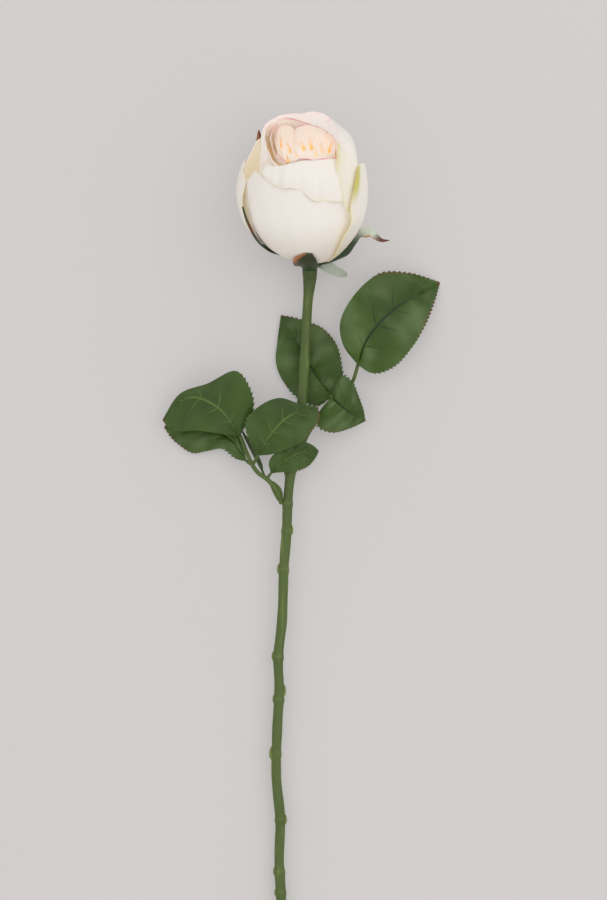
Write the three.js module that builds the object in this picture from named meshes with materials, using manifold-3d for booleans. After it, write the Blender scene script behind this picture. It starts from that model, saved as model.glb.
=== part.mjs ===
// A cut rose bud on a long stem, lying on its back on a table.
// Millimetres. +Z is up, +Y runs along the stem to the bud, +X is the side of the largest leaf.
import * as THREE from "three";
import { mergeVertices } from "three/addons/utils/BufferGeometryUtils.js";
import Module from "manifold-3d";

const wasm = await Module();
wasm.setup();

const { lerp, degToRad, clamp, smoothstep } = THREE.MathUtils;

// Driving sizes
const CENTRE = [0.8, 251.8]; // middle of the whole rose, measured from the cut end of the stem
const HEAD_BASE = [0.9, 431, 16.3]; // where the petals meet, above the table
const HEAD_TILT = 28; // degrees that the head looks up from the table
const HEAD_RADIUS = 31.6; // middle whorl, at its widest
const HEAD_LOW = 31; // height of the widest place above the base
const HEAD_HIGH = 52; // height from there to where the whorls would close
const LOW_FULLNESS = 1.75;
const LOW_ROUNDNESS = 0.6;
const HIGH_FULLNESS = 2.2;
const HIGH_ROUNDNESS = 0.53;
const SWAY = 4.2; // the petals start this far to the right of the head's axis
const SWAY_HEIGHT = 10;
const FIRST_LATITUDE = 16; // degrees from the base pole, where each petal starts
const PETAL = 0.6; // thickness
const SEPAL = 0.9;
const SEPAL_LEVEL = 4.3;
const BLADE = 0.6;
const RIB = 0.8; // extra thickness over the midrib
const PEG_RADIUS = 4.4;
const GAP = 0.3;
const STEM_RADIUS = 2.6;
const STALK_RADIUS = 1.15;

const FINISH = {
  petal: { color: 0xf2ead8, roughness: 0.85, metalness: 0 },
  heart: { color: 0xf6dcc0, roughness: 0.85, metalness: 0 },
  leaf: { color: 0x2f5227, roughness: 0.5, metalness: 0 },
  sepal: { color: 0x3d5c2d, roughness: 0.6, metalness: 0 },
  stem: { color: 0x5f7c3c, roughness: 0.55, metalness: 0 },
};

const rose = new THREE.Group();
rose.position.set(-CENTRE[0], -CENTRE[1], 0);
const head = new THREE.Group();
head.position.set(...HEAD_BASE);
head.rotation.x = degToRad(HEAD_TILT - 90);
rose.add(head);
rose.updateMatrixWorld(true);

function addMesh(group, name, finish, geometry) {
  const mesh = new THREE.Mesh(geometry, new THREE.MeshStandardMaterial(FINISH[finish]));
  mesh.name = name;
  group.add(mesh);
}

// Value at t (0 to 1) of a smooth curve through evenly spaced values.
function along(values, t) {
  const last = values.length - 1;
  const x = clamp(t, 0, 1) * last;
  const i = Math.min(Math.floor(x), last - 1);
  const f = x - i;
  const [b, c] = [values[i], values[i + 1]];
  const a = i > 0 ? values[i - 1] : 2 * b - c;
  const d = i + 2 <= last ? values[i + 2] : 2 * c - b;
  const slopeIn = (c - a) / 2;
  const slopeOut = (d - b) / 2;
  const f2 = f * f;
  const f3 = f2 * f;
  const ends = (2 * f3 - 3 * f2 + 1) * b + (3 * f2 - 2 * f3) * c;
  return ends + (f3 - 2 * f2 + f) * slopeIn + (f3 - f2) * slopeOut;
}

// Closed solid of even thickness round the surface place(u, v). Both faces are split alike.
// A point that would sink below the table is pressed flat on it.
function sheet({ columns, rows, place, thickness, frame = rose, closed = false }) {
  const points = [];
  const faces = [];
  const wide = closed ? columns : columns + 1;
  const step = 0.002;
  const toTable = frame.matrixWorld;
  const fromTable = toTable.clone().invert();
  for (let j = 0; j <= rows; j++) {
    for (let i = 0; i < wide; i++) {
      const u = i / columns;
      const v = j / rows;
      const uEnds = closed ? [u - step, u + step] : [Math.max(u - step, 0), Math.min(u + step, 1)];
      const across = place(uEnds[1], v).sub(place(uEnds[0], v));
      const up = place(u, Math.min(v + step, 1)).sub(place(u, Math.max(v - step, 0)));
      const normal = across.cross(up).normalize();
      const [over, under] = thickness(u, v);
      const pair = [over, -under].map((offset) =>
        place(u, v).addScaledVector(normal, offset).applyMatrix4(toTable),
      );
      const [low, high] = pair[0].z < pair[1].z ? pair : [pair[1], pair[0]];
      if (low.z < 0) {
        low.z = 0;
        high.z = Math.max(high.z, over + under);
      }
      points.push(...pair.map((p) => p.applyMatrix4(fromTable)));
    }
  }
  const at = (i, j, side) => 2 * (j * wide + (i % wide)) + side;
  for (let j = 0; j < rows; j++) {
    for (let i = 0; i < columns; i++) {
      const corners = [[i, j], [i + 1, j], [i + 1, j + 1], [i, j + 1]];
      const [a, b, c, d] = corners.map(([m, n]) => at(m, n, 0));
      const [e, f, g, h] = corners.map(([m, n]) => at(m, n, 1));
      faces.push(a, b, c, a, c, d, e, g, f, e, h, g);
    }
  }
  const wall = (from, to) => {
    const [a, b] = [at(...from, 0), at(...to, 0)];
    const [c, d] = [at(...from, 1), at(...to, 1)];
    faces.push(a, c, d, a, d, b);
  };
  for (let i = 0; i < columns; i++) {
    wall([i, 0], [i + 1, 0]);
    wall([i + 1, rows], [i, rows]);
  }
  for (let j = 0; j < rows && !closed; j++) {
    wall([0, j + 1], [0, j]);
    wall([columns, j], [columns, j + 1]);
  }
  const geometry = new THREE.BufferGeometry().setFromPoints(points);
  geometry.setIndex(faces);
  return geometry;
}

// Solid rod along a curve, with a radius for each distance from its start.
function rod({ curve, radiusAt, stations, sides }) {
  const length = curve.getLength();
  const points = [];
  const faces = [];
  const side = new THREE.Vector3(0, 0, 1);
  stations.forEach((distance) => {
    const t = clamp(distance / length, 0, 1);
    const tangent = curve.getTangentAt(t);
    const right = tangent.clone().cross(side).normalize();
    const up = right.clone().cross(tangent).normalize();
    for (let k = 0; k < sides; k++) {
      const turn = (2 * Math.PI * k) / sides;
      const radius = radiusAt(distance);
      points.push(
        curve.getPointAt(t)
          .addScaledVector(right, radius * Math.cos(turn))
          .addScaledVector(up, radius * Math.sin(turn)),
      );
    }
  });
  const start = points.push(curve.getPointAt(0)) - 1;
  const end = points.push(curve.getPointAt(1)) - 1;
  const last = stations.length - 1;
  for (let k = 0; k < sides; k++) {
    const next = (k + 1) % sides;
    for (let j = 0; j < last; j++) {
      const [a, b] = [j * sides + k, j * sides + next];
      faces.push(a, b + sides, b, a, a + sides, b + sides);
    }
    faces.push(start, k, next, end, last * sides + next, last * sides + k);
  }
  const geometry = new THREE.BufferGeometry().setFromPoints(points);
  geometry.setIndex(faces);
  return geometry;
}

function evenStations(length, spacing) {
  const count = Math.ceil(length / spacing);
  return Array.from({ length: count + 1 }, (_, i) => (length * i) / count);
}

function toSolid(geometry) {
  const bare = geometry.clone();
  bare.deleteAttribute("normal");
  bare.deleteAttribute("uv");
  const merged = mergeVertices(bare, 1e-4);
  return new wasm.Manifold(
    new wasm.Mesh({
      numProp: 3,
      vertProperties: merged.attributes.position.array,
      triVerts: new Uint32Array(merged.index.array),
    }),
  );
}

function toGeometry(solid) {
  const mesh = solid.getMesh();
  const geometry = new THREE.BufferGeometry();
  geometry.setAttribute("position", new THREE.BufferAttribute(mesh.vertProperties, 3));
  geometry.setIndex(new THREE.BufferAttribute(mesh.triVerts, 1));
  return geometry;
}

function fuse(geometries) {
  return geometries.map(toSolid).reduce((whole, piece) => whole.add(piece));
}

// The largest body of a solid, without sealed hollows and loose scraps.
function mainBody(solid) {
  return solid.decompose().reduce((best, body) => (body.volume() > best.volume() ? body : best));
}

// The head's form: radius and height at a latitude from the base pole, and the outward direction.
function profile(latitude) {
  const c = -Math.cos(degToRad(latitude));
  const [fullness, roundness] = c < 0 ? [LOW_FULLNESS, LOW_ROUNDNESS] : [HIGH_FULLNESS, HIGH_ROUNDNESS];
  const radius = HEAD_RADIUS * (1 - Math.abs(c) ** fullness) ** roundness;
  return new THREE.Vector2(radius, HEAD_LOW + c * (c < 0 ? HEAD_LOW : HEAD_HIGH));
}

function latitudeOf(height) {
  const c = (height - HEAD_LOW) / (height < HEAD_LOW ? HEAD_LOW : HEAD_HIGH);
  return THREE.MathUtils.radToDeg(Math.acos(-c));
}

// Point of the head at an azimuth (0 faces up from the table, 90 to the right), a radius and a height.
function turned(azimuth, radius, height) {
  const a = degToRad(azimuth);
  const shift = SWAY * Math.exp(-Math.max(height, 0) / SWAY_HEIGHT);
  return new THREE.Vector3(radius * Math.sin(a) + shift, -radius * Math.cos(a), height);
}

// Radius and height at a level: millimetres outside the middle whorl, square to it.
function leveled(latitude, level) {
  const step = profile(latitude + 0.1).sub(profile(latitude - 0.1)).normalize();
  return profile(latitude).add(new THREE.Vector2(step.y, -step.x).multiplyScalar(level));
}

function onHead(azimuth, latitude, level) {
  const p = leveled(latitude, level);
  return turned(azimuth, p.x, p.y);
}

// Whorled petals. left, right: azimuths of the side edges from base to tip. top: heights of the
// upper edge from left to right. level: at the left and the right edge. rim: how far the upper
// edge leans out, from left to right. side: how far the left and the right edge lean out.
const OUTER_PETALS = {
  petal_front: {
    left: [-40, -44, -48, -54, -57, -55, -52, -52, -58, -66, -56],
    right: [45, 55, 62, 62, 60, 58],
    top: [54.5, 53, 52.5, 53, 52, 49, 46],
    level: [0, 0],
    rim: [0, 0, 0, 0],
    side: [0.6, 0],
  },
  petal_right: {
    left: [54, 54, 53, 47, 40, 36, 39, 47, 46, 57, 68],
    right: [95, 108, 120, 122, 120, 114],
    top: [54, 55, 53, 50, 46, 40],
    level: [3.3, 1.7],
    rim: [0.8, 0.8, 0.6, 0.3],
    side: [1, 0],
  },
  petal_right_back: {
    left: [85, 88, 92, 95, 96, 97],
    right: [132, 138, 142, 143, 143, 140],
    top: [41, 44, 45, 44, 41],
    level: [3.1, 2.3],
    rim: [0.6, 0.6, 0.6, 0.6],
    side: [0.3, 0],
  },
  petal_back: {
    left: [122, 128, 131, 132, 133, 138],
    right: [226, 230, 232, 231, 230, 222],
    top: [46, 52, 54, 52, 46],
    level: [1.2, 1.2],
    rim: [1.5, 1.5, 1.5, 1.5],
    side: [0, 0],
  },
  petal_left: {
    left: [-132, -137, -140, -140, -140, -134],
    right: [-70, -68, -66, -61, -61, -66],
    top: [38, 44, 47, 48.5, 49],
    level: [2.2, 3],
    rim: [1.2, 1.2, 1.2, 0.2],
    side: [0, 0],
  },
  petal_right_wrap: {
    left: [50, 50, 50, 50, 50, 49, 46, 40, 37, 36, 41],
    right: [100, 115, 125, 125, 122, 112],
    top: [65, 61, 56, 53, 51, 50, 48],
    level: [2, 0.4],
    rim: [0, 0, 0, 0],
    side: [1.2, 0],
  },
  petal_inner_left: {
    left: [-125, -130, -138, -142, -142, -138],
    right: [-52, -51, -49, -47, -46, -46],
    top: [56, 61, 62, 60, 57, 53],
    level: [-1.1, -1.1],
    rim: [1, 1, 0.4, -0.3],
    side: [0, 0],
  },
  petal_inner_right: {
    left: [56, 52, 49, 48, 48, 50],
    right: [140, 148, 152, 150, 146, 142],
    top: [56, 56, 57, 60, 66, 69, 65],
    level: [-1.1, -1.1],
    rim: [-0.4, -0.4, 0.2, 1.2, 1.4, 0.8],
    side: [0, 0],
  },
  petal_inner_back: {
    left: [160, 152, 148, 147, 148, 152],
    right: [228, 235, 240, 242, 240, 232],
    top: [71, 75, 76, 74, 69],
    level: [-2.2, -2.2],
    rim: [0, 0, 0, 0],
    side: [0, 0],
  },
};

function petalPoint({ left, right, top, level, rim, side }, u, v) {
  const azimuth = lerp(along(left, v), along(right, v), u);
  const latitude = lerp(FIRST_LATITUDE, latitudeOf(along(top, u)), v);
  const lean = along(rim, u) * v ** 8 + (side[0] * (1 - u) ** 6 + side[1] * u ** 6) * v ** 3;
  return onHead(azimuth, latitude, lerp(level[0], level[1], u) + lean);
}

const even = (thickness) => () => [thickness / 2, thickness / 2];

function petal(shape) {
  return sheet({
    columns: 8,
    rows: 10,
    place: (u, v) => petalPoint(shape, u, v),
    thickness: even(PETAL),
    frame: head,
  });
}

// The folded front petal rises inside its neighbour, turns over and hangs down outside it.
const FOLD = {
  left: -42,
  right: 39,
  inside: -1.1,
  outside: 1.1,
  foldHeights: [57, 58, 60, 61.5, 61.5, 61, 60],
  edgeHeights: [55, 52, 50.5, 51, 49.5, 45, 43.5, 42.3, 41.3],
  turn: 0.62, // share of the rows below the fold
  bulge: 1.2,
};

function foldedPoint(u, v) {
  const azimuth = lerp(FOLD.left, FOLD.right, u);
  const foldLatitude = latitudeOf(along(FOLD.foldHeights, u));
  if (v < FOLD.turn) {
    const latitude = lerp(FIRST_LATITUDE, foldLatitude, v / FOLD.turn);
    return onHead(azimuth, latitude, FOLD.inside);
  }
  const t = (v - FOLD.turn) / (1 - FOLD.turn);
  const edge = latitudeOf(along(FOLD.edgeHeights, u));
  const inner = leveled(foldLatitude, FOLD.inside);
  const crest = leveled(foldLatitude + 3, FOLD.inside + FOLD.bulge);
  const shoulder = leveled(lerp(foldLatitude, edge, 0.45), FOLD.outside + 0.8);
  const hem = leveled(edge, FOLD.outside);
  const radius = along([inner.x, crest.x, shoulder.x, hem.x], t);
  const height = along([inner.y, crest.y, shoulder.y, hem.y], t);
  return turned(azimuth, radius, height);
}

function foldedPetal() {
  return sheet({ columns: 9, rows: 14, place: foldedPoint, thickness: even(PETAL), frame: head });
}

// Small petals of the heart, each along a path of [radius, height] from its foot to its tip.
const HEART_RING = [
  { middle: 8, spread: 50, path: [[18, 44], [23, 51], [22.6, 55], [20.8, 58.5]] },
  { middle: 66, spread: 42, path: [[18, 44], [23.6, 52], [23, 58], [20.4, 62.5]] },
  { middle: 122, spread: 44, path: [[18, 44], [22.6, 53], [20.6, 62], [15.2, 70]] },
  { middle: 180, spread: 40, path: [[18, 44], [22, 53], [20.2, 62], [14.4, 72]] },
  { middle: 238, spread: 44, path: [[18, 44], [22.6, 53], [21.2, 62], [16.4, 70]] },
  { middle: 300, spread: 40, path: [[18, 44], [23.8, 52], [23.4, 57.5], [21.6, 62]] },
  { middle: 286, spread: 42, path: [[16, 46], [21.4, 54], [21.4, 60], [19.2, 65]] },
  { middle: 274, spread: 44, path: [[14, 50], [18.8, 57], [18.8, 62], [17, 67]] },
  { middle: 150, spread: 42, path: [[12, 52], [16, 59], [15.6, 65], [11.6, 69.5]] },
  { middle: 215, spread: 40, path: [[12, 52], [15, 59], [14.6, 65], [10.8, 69]] },
];

function heartPetal({ middle, spread, path }) {
  return sheet({
    columns: 6,
    rows: 4,
    place: (u, v) => {
      const round = 1 - 0.1 * Math.abs(2 * u - 1) ** 3;
      const azimuth = middle + spread * (2 * u - 1) * (1 - 0.15 * v ** 4);
      const radius = along(path.map((p) => p[0]), v * round);
      return turned(azimuth, radius + 0.5 * u * v, along(path.map((p) => p[1]), v * round));
    },
    thickness: even(PETAL),
    frame: head,
  });
}

// Pleated ruffles in the middle of the heart.
const RUFFLES = [
  { pleats: 13, fold: 1.8, path: [[8, 53], [12.6, 59], [15.4, 63.5]] },
  { pleats: 8, fold: 1.5, path: [[3, 54], [6, 60.5], [8.2, 65]] },
];

function ruffle({ pleats, fold, path }) {
  return sheet({
    columns: pleats * 4,
    rows: 2,
    closed: true,
    place: (u, v) => {
      const wave = Math.cos(2 * Math.PI * pleats * u) * v;
      const radius = along(path.map((p) => p[0]), v) + fold * wave;
      return turned(360 * u, radius, along(path.map((p) => p[1]), v) + 0.6 * fold * wave);
    },
    thickness: even(PETAL + 0.1),
    frame: head,
  });
}

const CORE_LEVEL = -6.6;
const CORE_LATITUDES = [45, 65, 85, 100, 112];
const CORE_TOP = 57;

function core() {
  const wall = CORE_LATITUDES.map((latitude) => leveled(latitude, CORE_LEVEL));
  const profilePoints = [
    new THREE.Vector2(0, 9),
    new THREE.Vector2(PEG_RADIUS, 9),
    ...wall,
    new THREE.Vector2(8, CORE_TOP - 1),
    new THREE.Vector2(0, CORE_TOP),
  ];
  return new THREE.LatheGeometry(profilePoints, 16).rotateX(Math.PI / 2);
}

function heart() {
  const pieces = [core(), ...HEART_RING.map(heartPetal), ...RUFFLES.map(ruffle)];
  return toGeometry(mainBody(fuse(pieces)));
}

// Cup under the petals, with the peg that they are threaded on.
const CUP_TOP = -3.2;
const CUP_RADIUS = 7.8;
const NECK_HEIGHT = -8;
const NECK_RADIUS = 4;

function cup() {
  const outline = [
    [0, NECK_HEIGHT], [NECK_RADIUS, NECK_HEIGHT], [4.9, -6.8], [6.8, -5.4], [CUP_RADIUS, -4.2],
    [CUP_RADIUS, CUP_TOP], [PEG_RADIUS, CUP_TOP], [PEG_RADIUS, 7], [PEG_RADIUS - 1, 8], [0, 8],
  ];
  const points = outline.map(([radius, height]) => new THREE.Vector2(radius, height));
  return new THREE.LatheGeometry(points, 20).rotateX(Math.PI / 2).translate(SWAY, 0, 0);
}

// Sepals: the middle line of each, from inside the cup to its tip, its greatest width, and the
// share of its length from which it turns its face up from the table instead of off the head.
const SEPALS = [
  {
    width: 13.5,
    turn: 1,
    line: [turned(0, 4.5, -4.4), onHead(-4, 15, 4.2), onHead(-3, 30, 1.9), onHead(8, 52, 1.1)],
  },
  {
    width: 9.5,
    turn: 1,
    line: [
      turned(-46, 4.5, -4.4), onHead(-44, 17, 2.4), onHead(-45, 34, 1.3), onHead(-48, 56, 1.6),
      onHead(-55, 76, 4.3), onHead(-58, 96, SEPAL_LEVEL + 0.4),
    ],
  },
  {
    width: 13,
    turn: 0.62,
    line: [
      turned(58, 4.5, -4.4), onHead(56, 16, 4.7), onHead(58, 36, SEPAL_LEVEL),
      onHead(64, 54, SEPAL_LEVEL), onHead(73, 66, SEPAL_LEVEL + 0.6), turned(78, 38.4, 14.8),
      turned(80, 40.8, 11), turned(80, 46, 11.2),
    ],
  },
  {
    width: 10,
    turn: 0,
    line: [
      turned(96, 4.5, -5.6), turned(92, 9, -7.4), turned(90, 13, -10.4), turned(90, 16.6, -12.6),
      turned(90, 19.8, -13.9),
    ],
  },
  {
    width: 11,
    turn: 1,
    line: [
      turned(-135, 4.5, -4.4), onHead(-135, 16, 4.6), onHead(-136, 36, SEPAL_LEVEL),
      onHead(-136, 62, SEPAL_LEVEL), onHead(-135, 90, SEPAL_LEVEL), onHead(-134, 108, 4.5),
      onHead(-131, 122, 5),
    ],
  },
];
const TABLE_UP = new THREE.Vector3(0, 0, 1).transformDirection(head.matrixWorld.clone().invert());

function sepal({ width, turn, line }) {
  const curve = new THREE.CatmullRomCurve3(line);
  const middle = new THREE.Vector3(SWAY / 2, 0, HEAD_LOW);
  return sheet({
    columns: 2,
    rows: 10,
    place: (u, v) => {
      const point = curve.getPointAt(v);
      const out = point.clone().sub(middle).normalize();
      const face = turn < 1 ? out.lerp(TABLE_UP, smoothstep(v, turn, turn + 0.15)) : out;
      const across = curve.getTangentAt(v).cross(face).normalize();
      const half = (width / 2) * (0.5 + 0.5 * smoothstep(v, 0, 0.35)) * (1 - v ** 2.4) + 0.35;
      return point.addScaledVector(across, half * (1 - 2 * u));
    },
    thickness: even(SEPAL),
    frame: head,
  });
}

function calyx() {
  return toGeometry(mainBody(fuse([cup(), ...SEPALS.map(sepal)])));
}

// Stem: middle line from the cut end to the neck, in [x, y]; its height follows from the slope.
const STEM_LINE = [
  [-8, 0], [-9, 45], [-10, 91], [-11, 112], [-10.5, 133.5], [-12.5, 156], [-12, 182], [-11, 201.5],
  [-11.5, 219], [-9.5, 238.5], [-8.5, 266], [-7, 286.5], [-6.5, 301], [-5, 315.5], [-2, 334],
  [1, 353.5], [2.5, 376], [3.8, 402],
];
const STEM_RISE = 7.6; // from the cut end to the neck
const NECK_LENGTH = 6;
const NODES = [94.5, 105.5, 133, 168, 196.5, 219, 265, 285.5, 300, 318];
const BUDS = [
  { at: 40, side: 1, size: 1.7 }, { at: 66, side: -1, size: 1.8 }, { at: 94.5, side: -1, size: 1.4 },
  { at: 105.5, side: -1, size: 1.5 }, { at: 133, side: 1, size: 1.7 }, { at: 168, side: -1, size: 2.1 },
  { at: 196.5, side: -1, size: 1.4 }, { at: 201, side: 1, size: 1.8 }, { at: 219, side: -1, size: 1.6 },
  { at: 265, side: -1, size: 1.8 }, { at: 285.5, side: 1, size: 1.6 }, { at: 315.5, side: -1, size: 1.4 },
];

function stemHeight(y) {
  return STEM_RADIUS + (STEM_RISE * y) / 400;
}

function stemCurve() {
  const neck = [NECK_LENGTH, NECK_LENGTH / 2, 0].map((below) =>
    turned(0, 0, NECK_HEIGHT - GAP - below).applyEuler(head.rotation).add(head.position),
  );
  const line = STEM_LINE.map(([x, y]) => new THREE.Vector3(x, y, stemHeight(y)));
  return new THREE.CatmullRomCurve3([...line, ...neck]);
}

function stemRadius(curve, margin = 0) {
  const length = curve.getLength();
  return (distance) => {
    const flare = (NECK_RADIUS - STEM_RADIUS) * smoothstep(distance, length - 16, length);
    const swell = NODES.map((y) => 0.35 * Math.exp(-(((distance - y) / 1.6) ** 2)));
    return STEM_RADIUS + margin + flare + Math.max(...swell);
  };
}

function pointOnStem(curve, y) {
  let [low, high] = [0, 1];
  while (high - low > 1e-5) {
    const middle = (low + high) / 2;
    if (curve.getPointAt(middle).y < y) low = middle;
    else high = middle;
  }
  return curve.getPointAt(low);
}

function stem(curve) {
  const length = curve.getLength();
  const nodeStations = NODES.flatMap((y) => [y - 2.2, y, y + 2.2]);
  const clear = evenStations(length, 28).filter((s) => NODES.every((y) => Math.abs(s - y) > 4));
  const stations = [...clear, ...nodeStations].sort((a, b) => a - b);
  const pieces = [rod({ curve, radiusAt: stemRadius(curve), stations, sides: 12 })];
  for (const { at, side, size } of BUDS) {
    const knob = new THREE.SphereGeometry(size, 6, 4).scale(1, 1.5, 0.8);
    const place = pointOnStem(curve, at);
    pieces.push(knob.rotateZ(-0.35 * side).translate(place.x + side * 2.3, at, place.z + 0.4));
  }
  return toGeometry(mainBody(fuse(pieces)));
}

// Leaf stalks: the middle line from the stem to the end leaflet, the start of the side branch to
// each other leaflet, and the middle line and width of the wing at the foot.
const LEFT_STALK = {
  leaf: "leaf_left_end",
  main: [
    [-9.6, 300, 8.4], [-12.5, 307, 11], [-17.2, 312.6, 13.2], [-22, 316, 14], [-25.2, 320.4, 13.6],
    [-28.4, 327.5, 12.4],
  ],
  branches: {
    leaf_left_small: [-17.2, 312.6, 13.2],
    leaf_left_edge: [-17.8, 313, 13.2],
    leaf_left_centre: [-25, 320, 13.6],
    leaf_left_lower: [-25.2, 320.4, 13.4],
  },
  wing: { line: [[-10.4, 301.6, 8.8], [-12, 306.4, 10.8], [-15, 311, 12.6]], width: 4 },
};
const RIGHT_STALK = {
  leaf: "leaf_right_end",
  main: [
    [-2.2, 320, 8.9], [2.5, 333.5, 9.6], [9.5, 345.5, 9.6], [16, 353.6, 9], [22, 358, 9],
    [27.3, 363.4, 9.8],
  ],
  branches: {
    leaf_right_centre: [16, 353.6, 8.8],
    leaf_right_small: [16, 353.6, 9.2],
  },
  wing: { line: [[-1.4, 322, 9], [0.2, 327, 9.5], [2, 332, 10]], width: 3.2 },
};
const SEAT_GAP = 0.6; // between a stalk's end and the foot of its leaflet
const SEAT_LENGTH = 1.2; // straight end of a stalk, in line with the leaflet's midrib

function curveThrough(points) {
  return new THREE.CatmullRomCurve3(points.map((p) => new THREE.Vector3(...p)));
}

// Round stalk through the given points, on to the foot of a leaflet.
function twig(points, leaf, radiusStart, radiusEnd) {
  const rib = curveThrough(LEAFLETS[leaf].rib);
  const foot = rib.getPointAt(FOOT_SHARE);
  const back = rib.getTangentAt(FOOT_SHARE).negate();
  const seat = [SEAT_GAP + SEAT_LENGTH, SEAT_GAP].map((d) => foot.clone().addScaledVector(back, d));
  const curve = curveThrough([...points, ...seat.map((p) => p.toArray())]);
  const length = curve.getLength();
  return rod({
    curve,
    radiusAt: (distance) => lerp(radiusStart, radiusEnd, distance / length),
    stations: evenStations(length, 4),
    sides: 8,
  });
}

// Narrow wings at the foot of a stalk.
function wing({ line, width }) {
  const curve = curveThrough(line);
  return sheet({
    columns: 2,
    rows: 6,
    place: (u, v) => {
      const tangent = curve.getTangentAt(v);
      const across = new THREE.Vector3(tangent.y, -tangent.x, 0).normalize();
      const half = (width / 2) * Math.sin(Math.PI * (0.15 + 0.75 * v)) + 0.3;
      return curve.getPointAt(v).addScaledVector(across, half * (2 * u - 1));
    },
    thickness: even(BLADE + 0.3),
  });
}

function leafStalk({ leaf, main, branches, wing: foot }, fatStem) {
  const pieces = [twig(main, leaf, STALK_RADIUS * 1.2, STALK_RADIUS * 0.6), wing(foot)];
  for (const [name, start] of Object.entries(branches)) {
    pieces.push(twig([start], name, STALK_RADIUS * 0.8, STALK_RADIUS * 0.6));
  }
  return toGeometry(mainBody(fuse(pieces).subtract(fatStem)));
}

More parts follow.
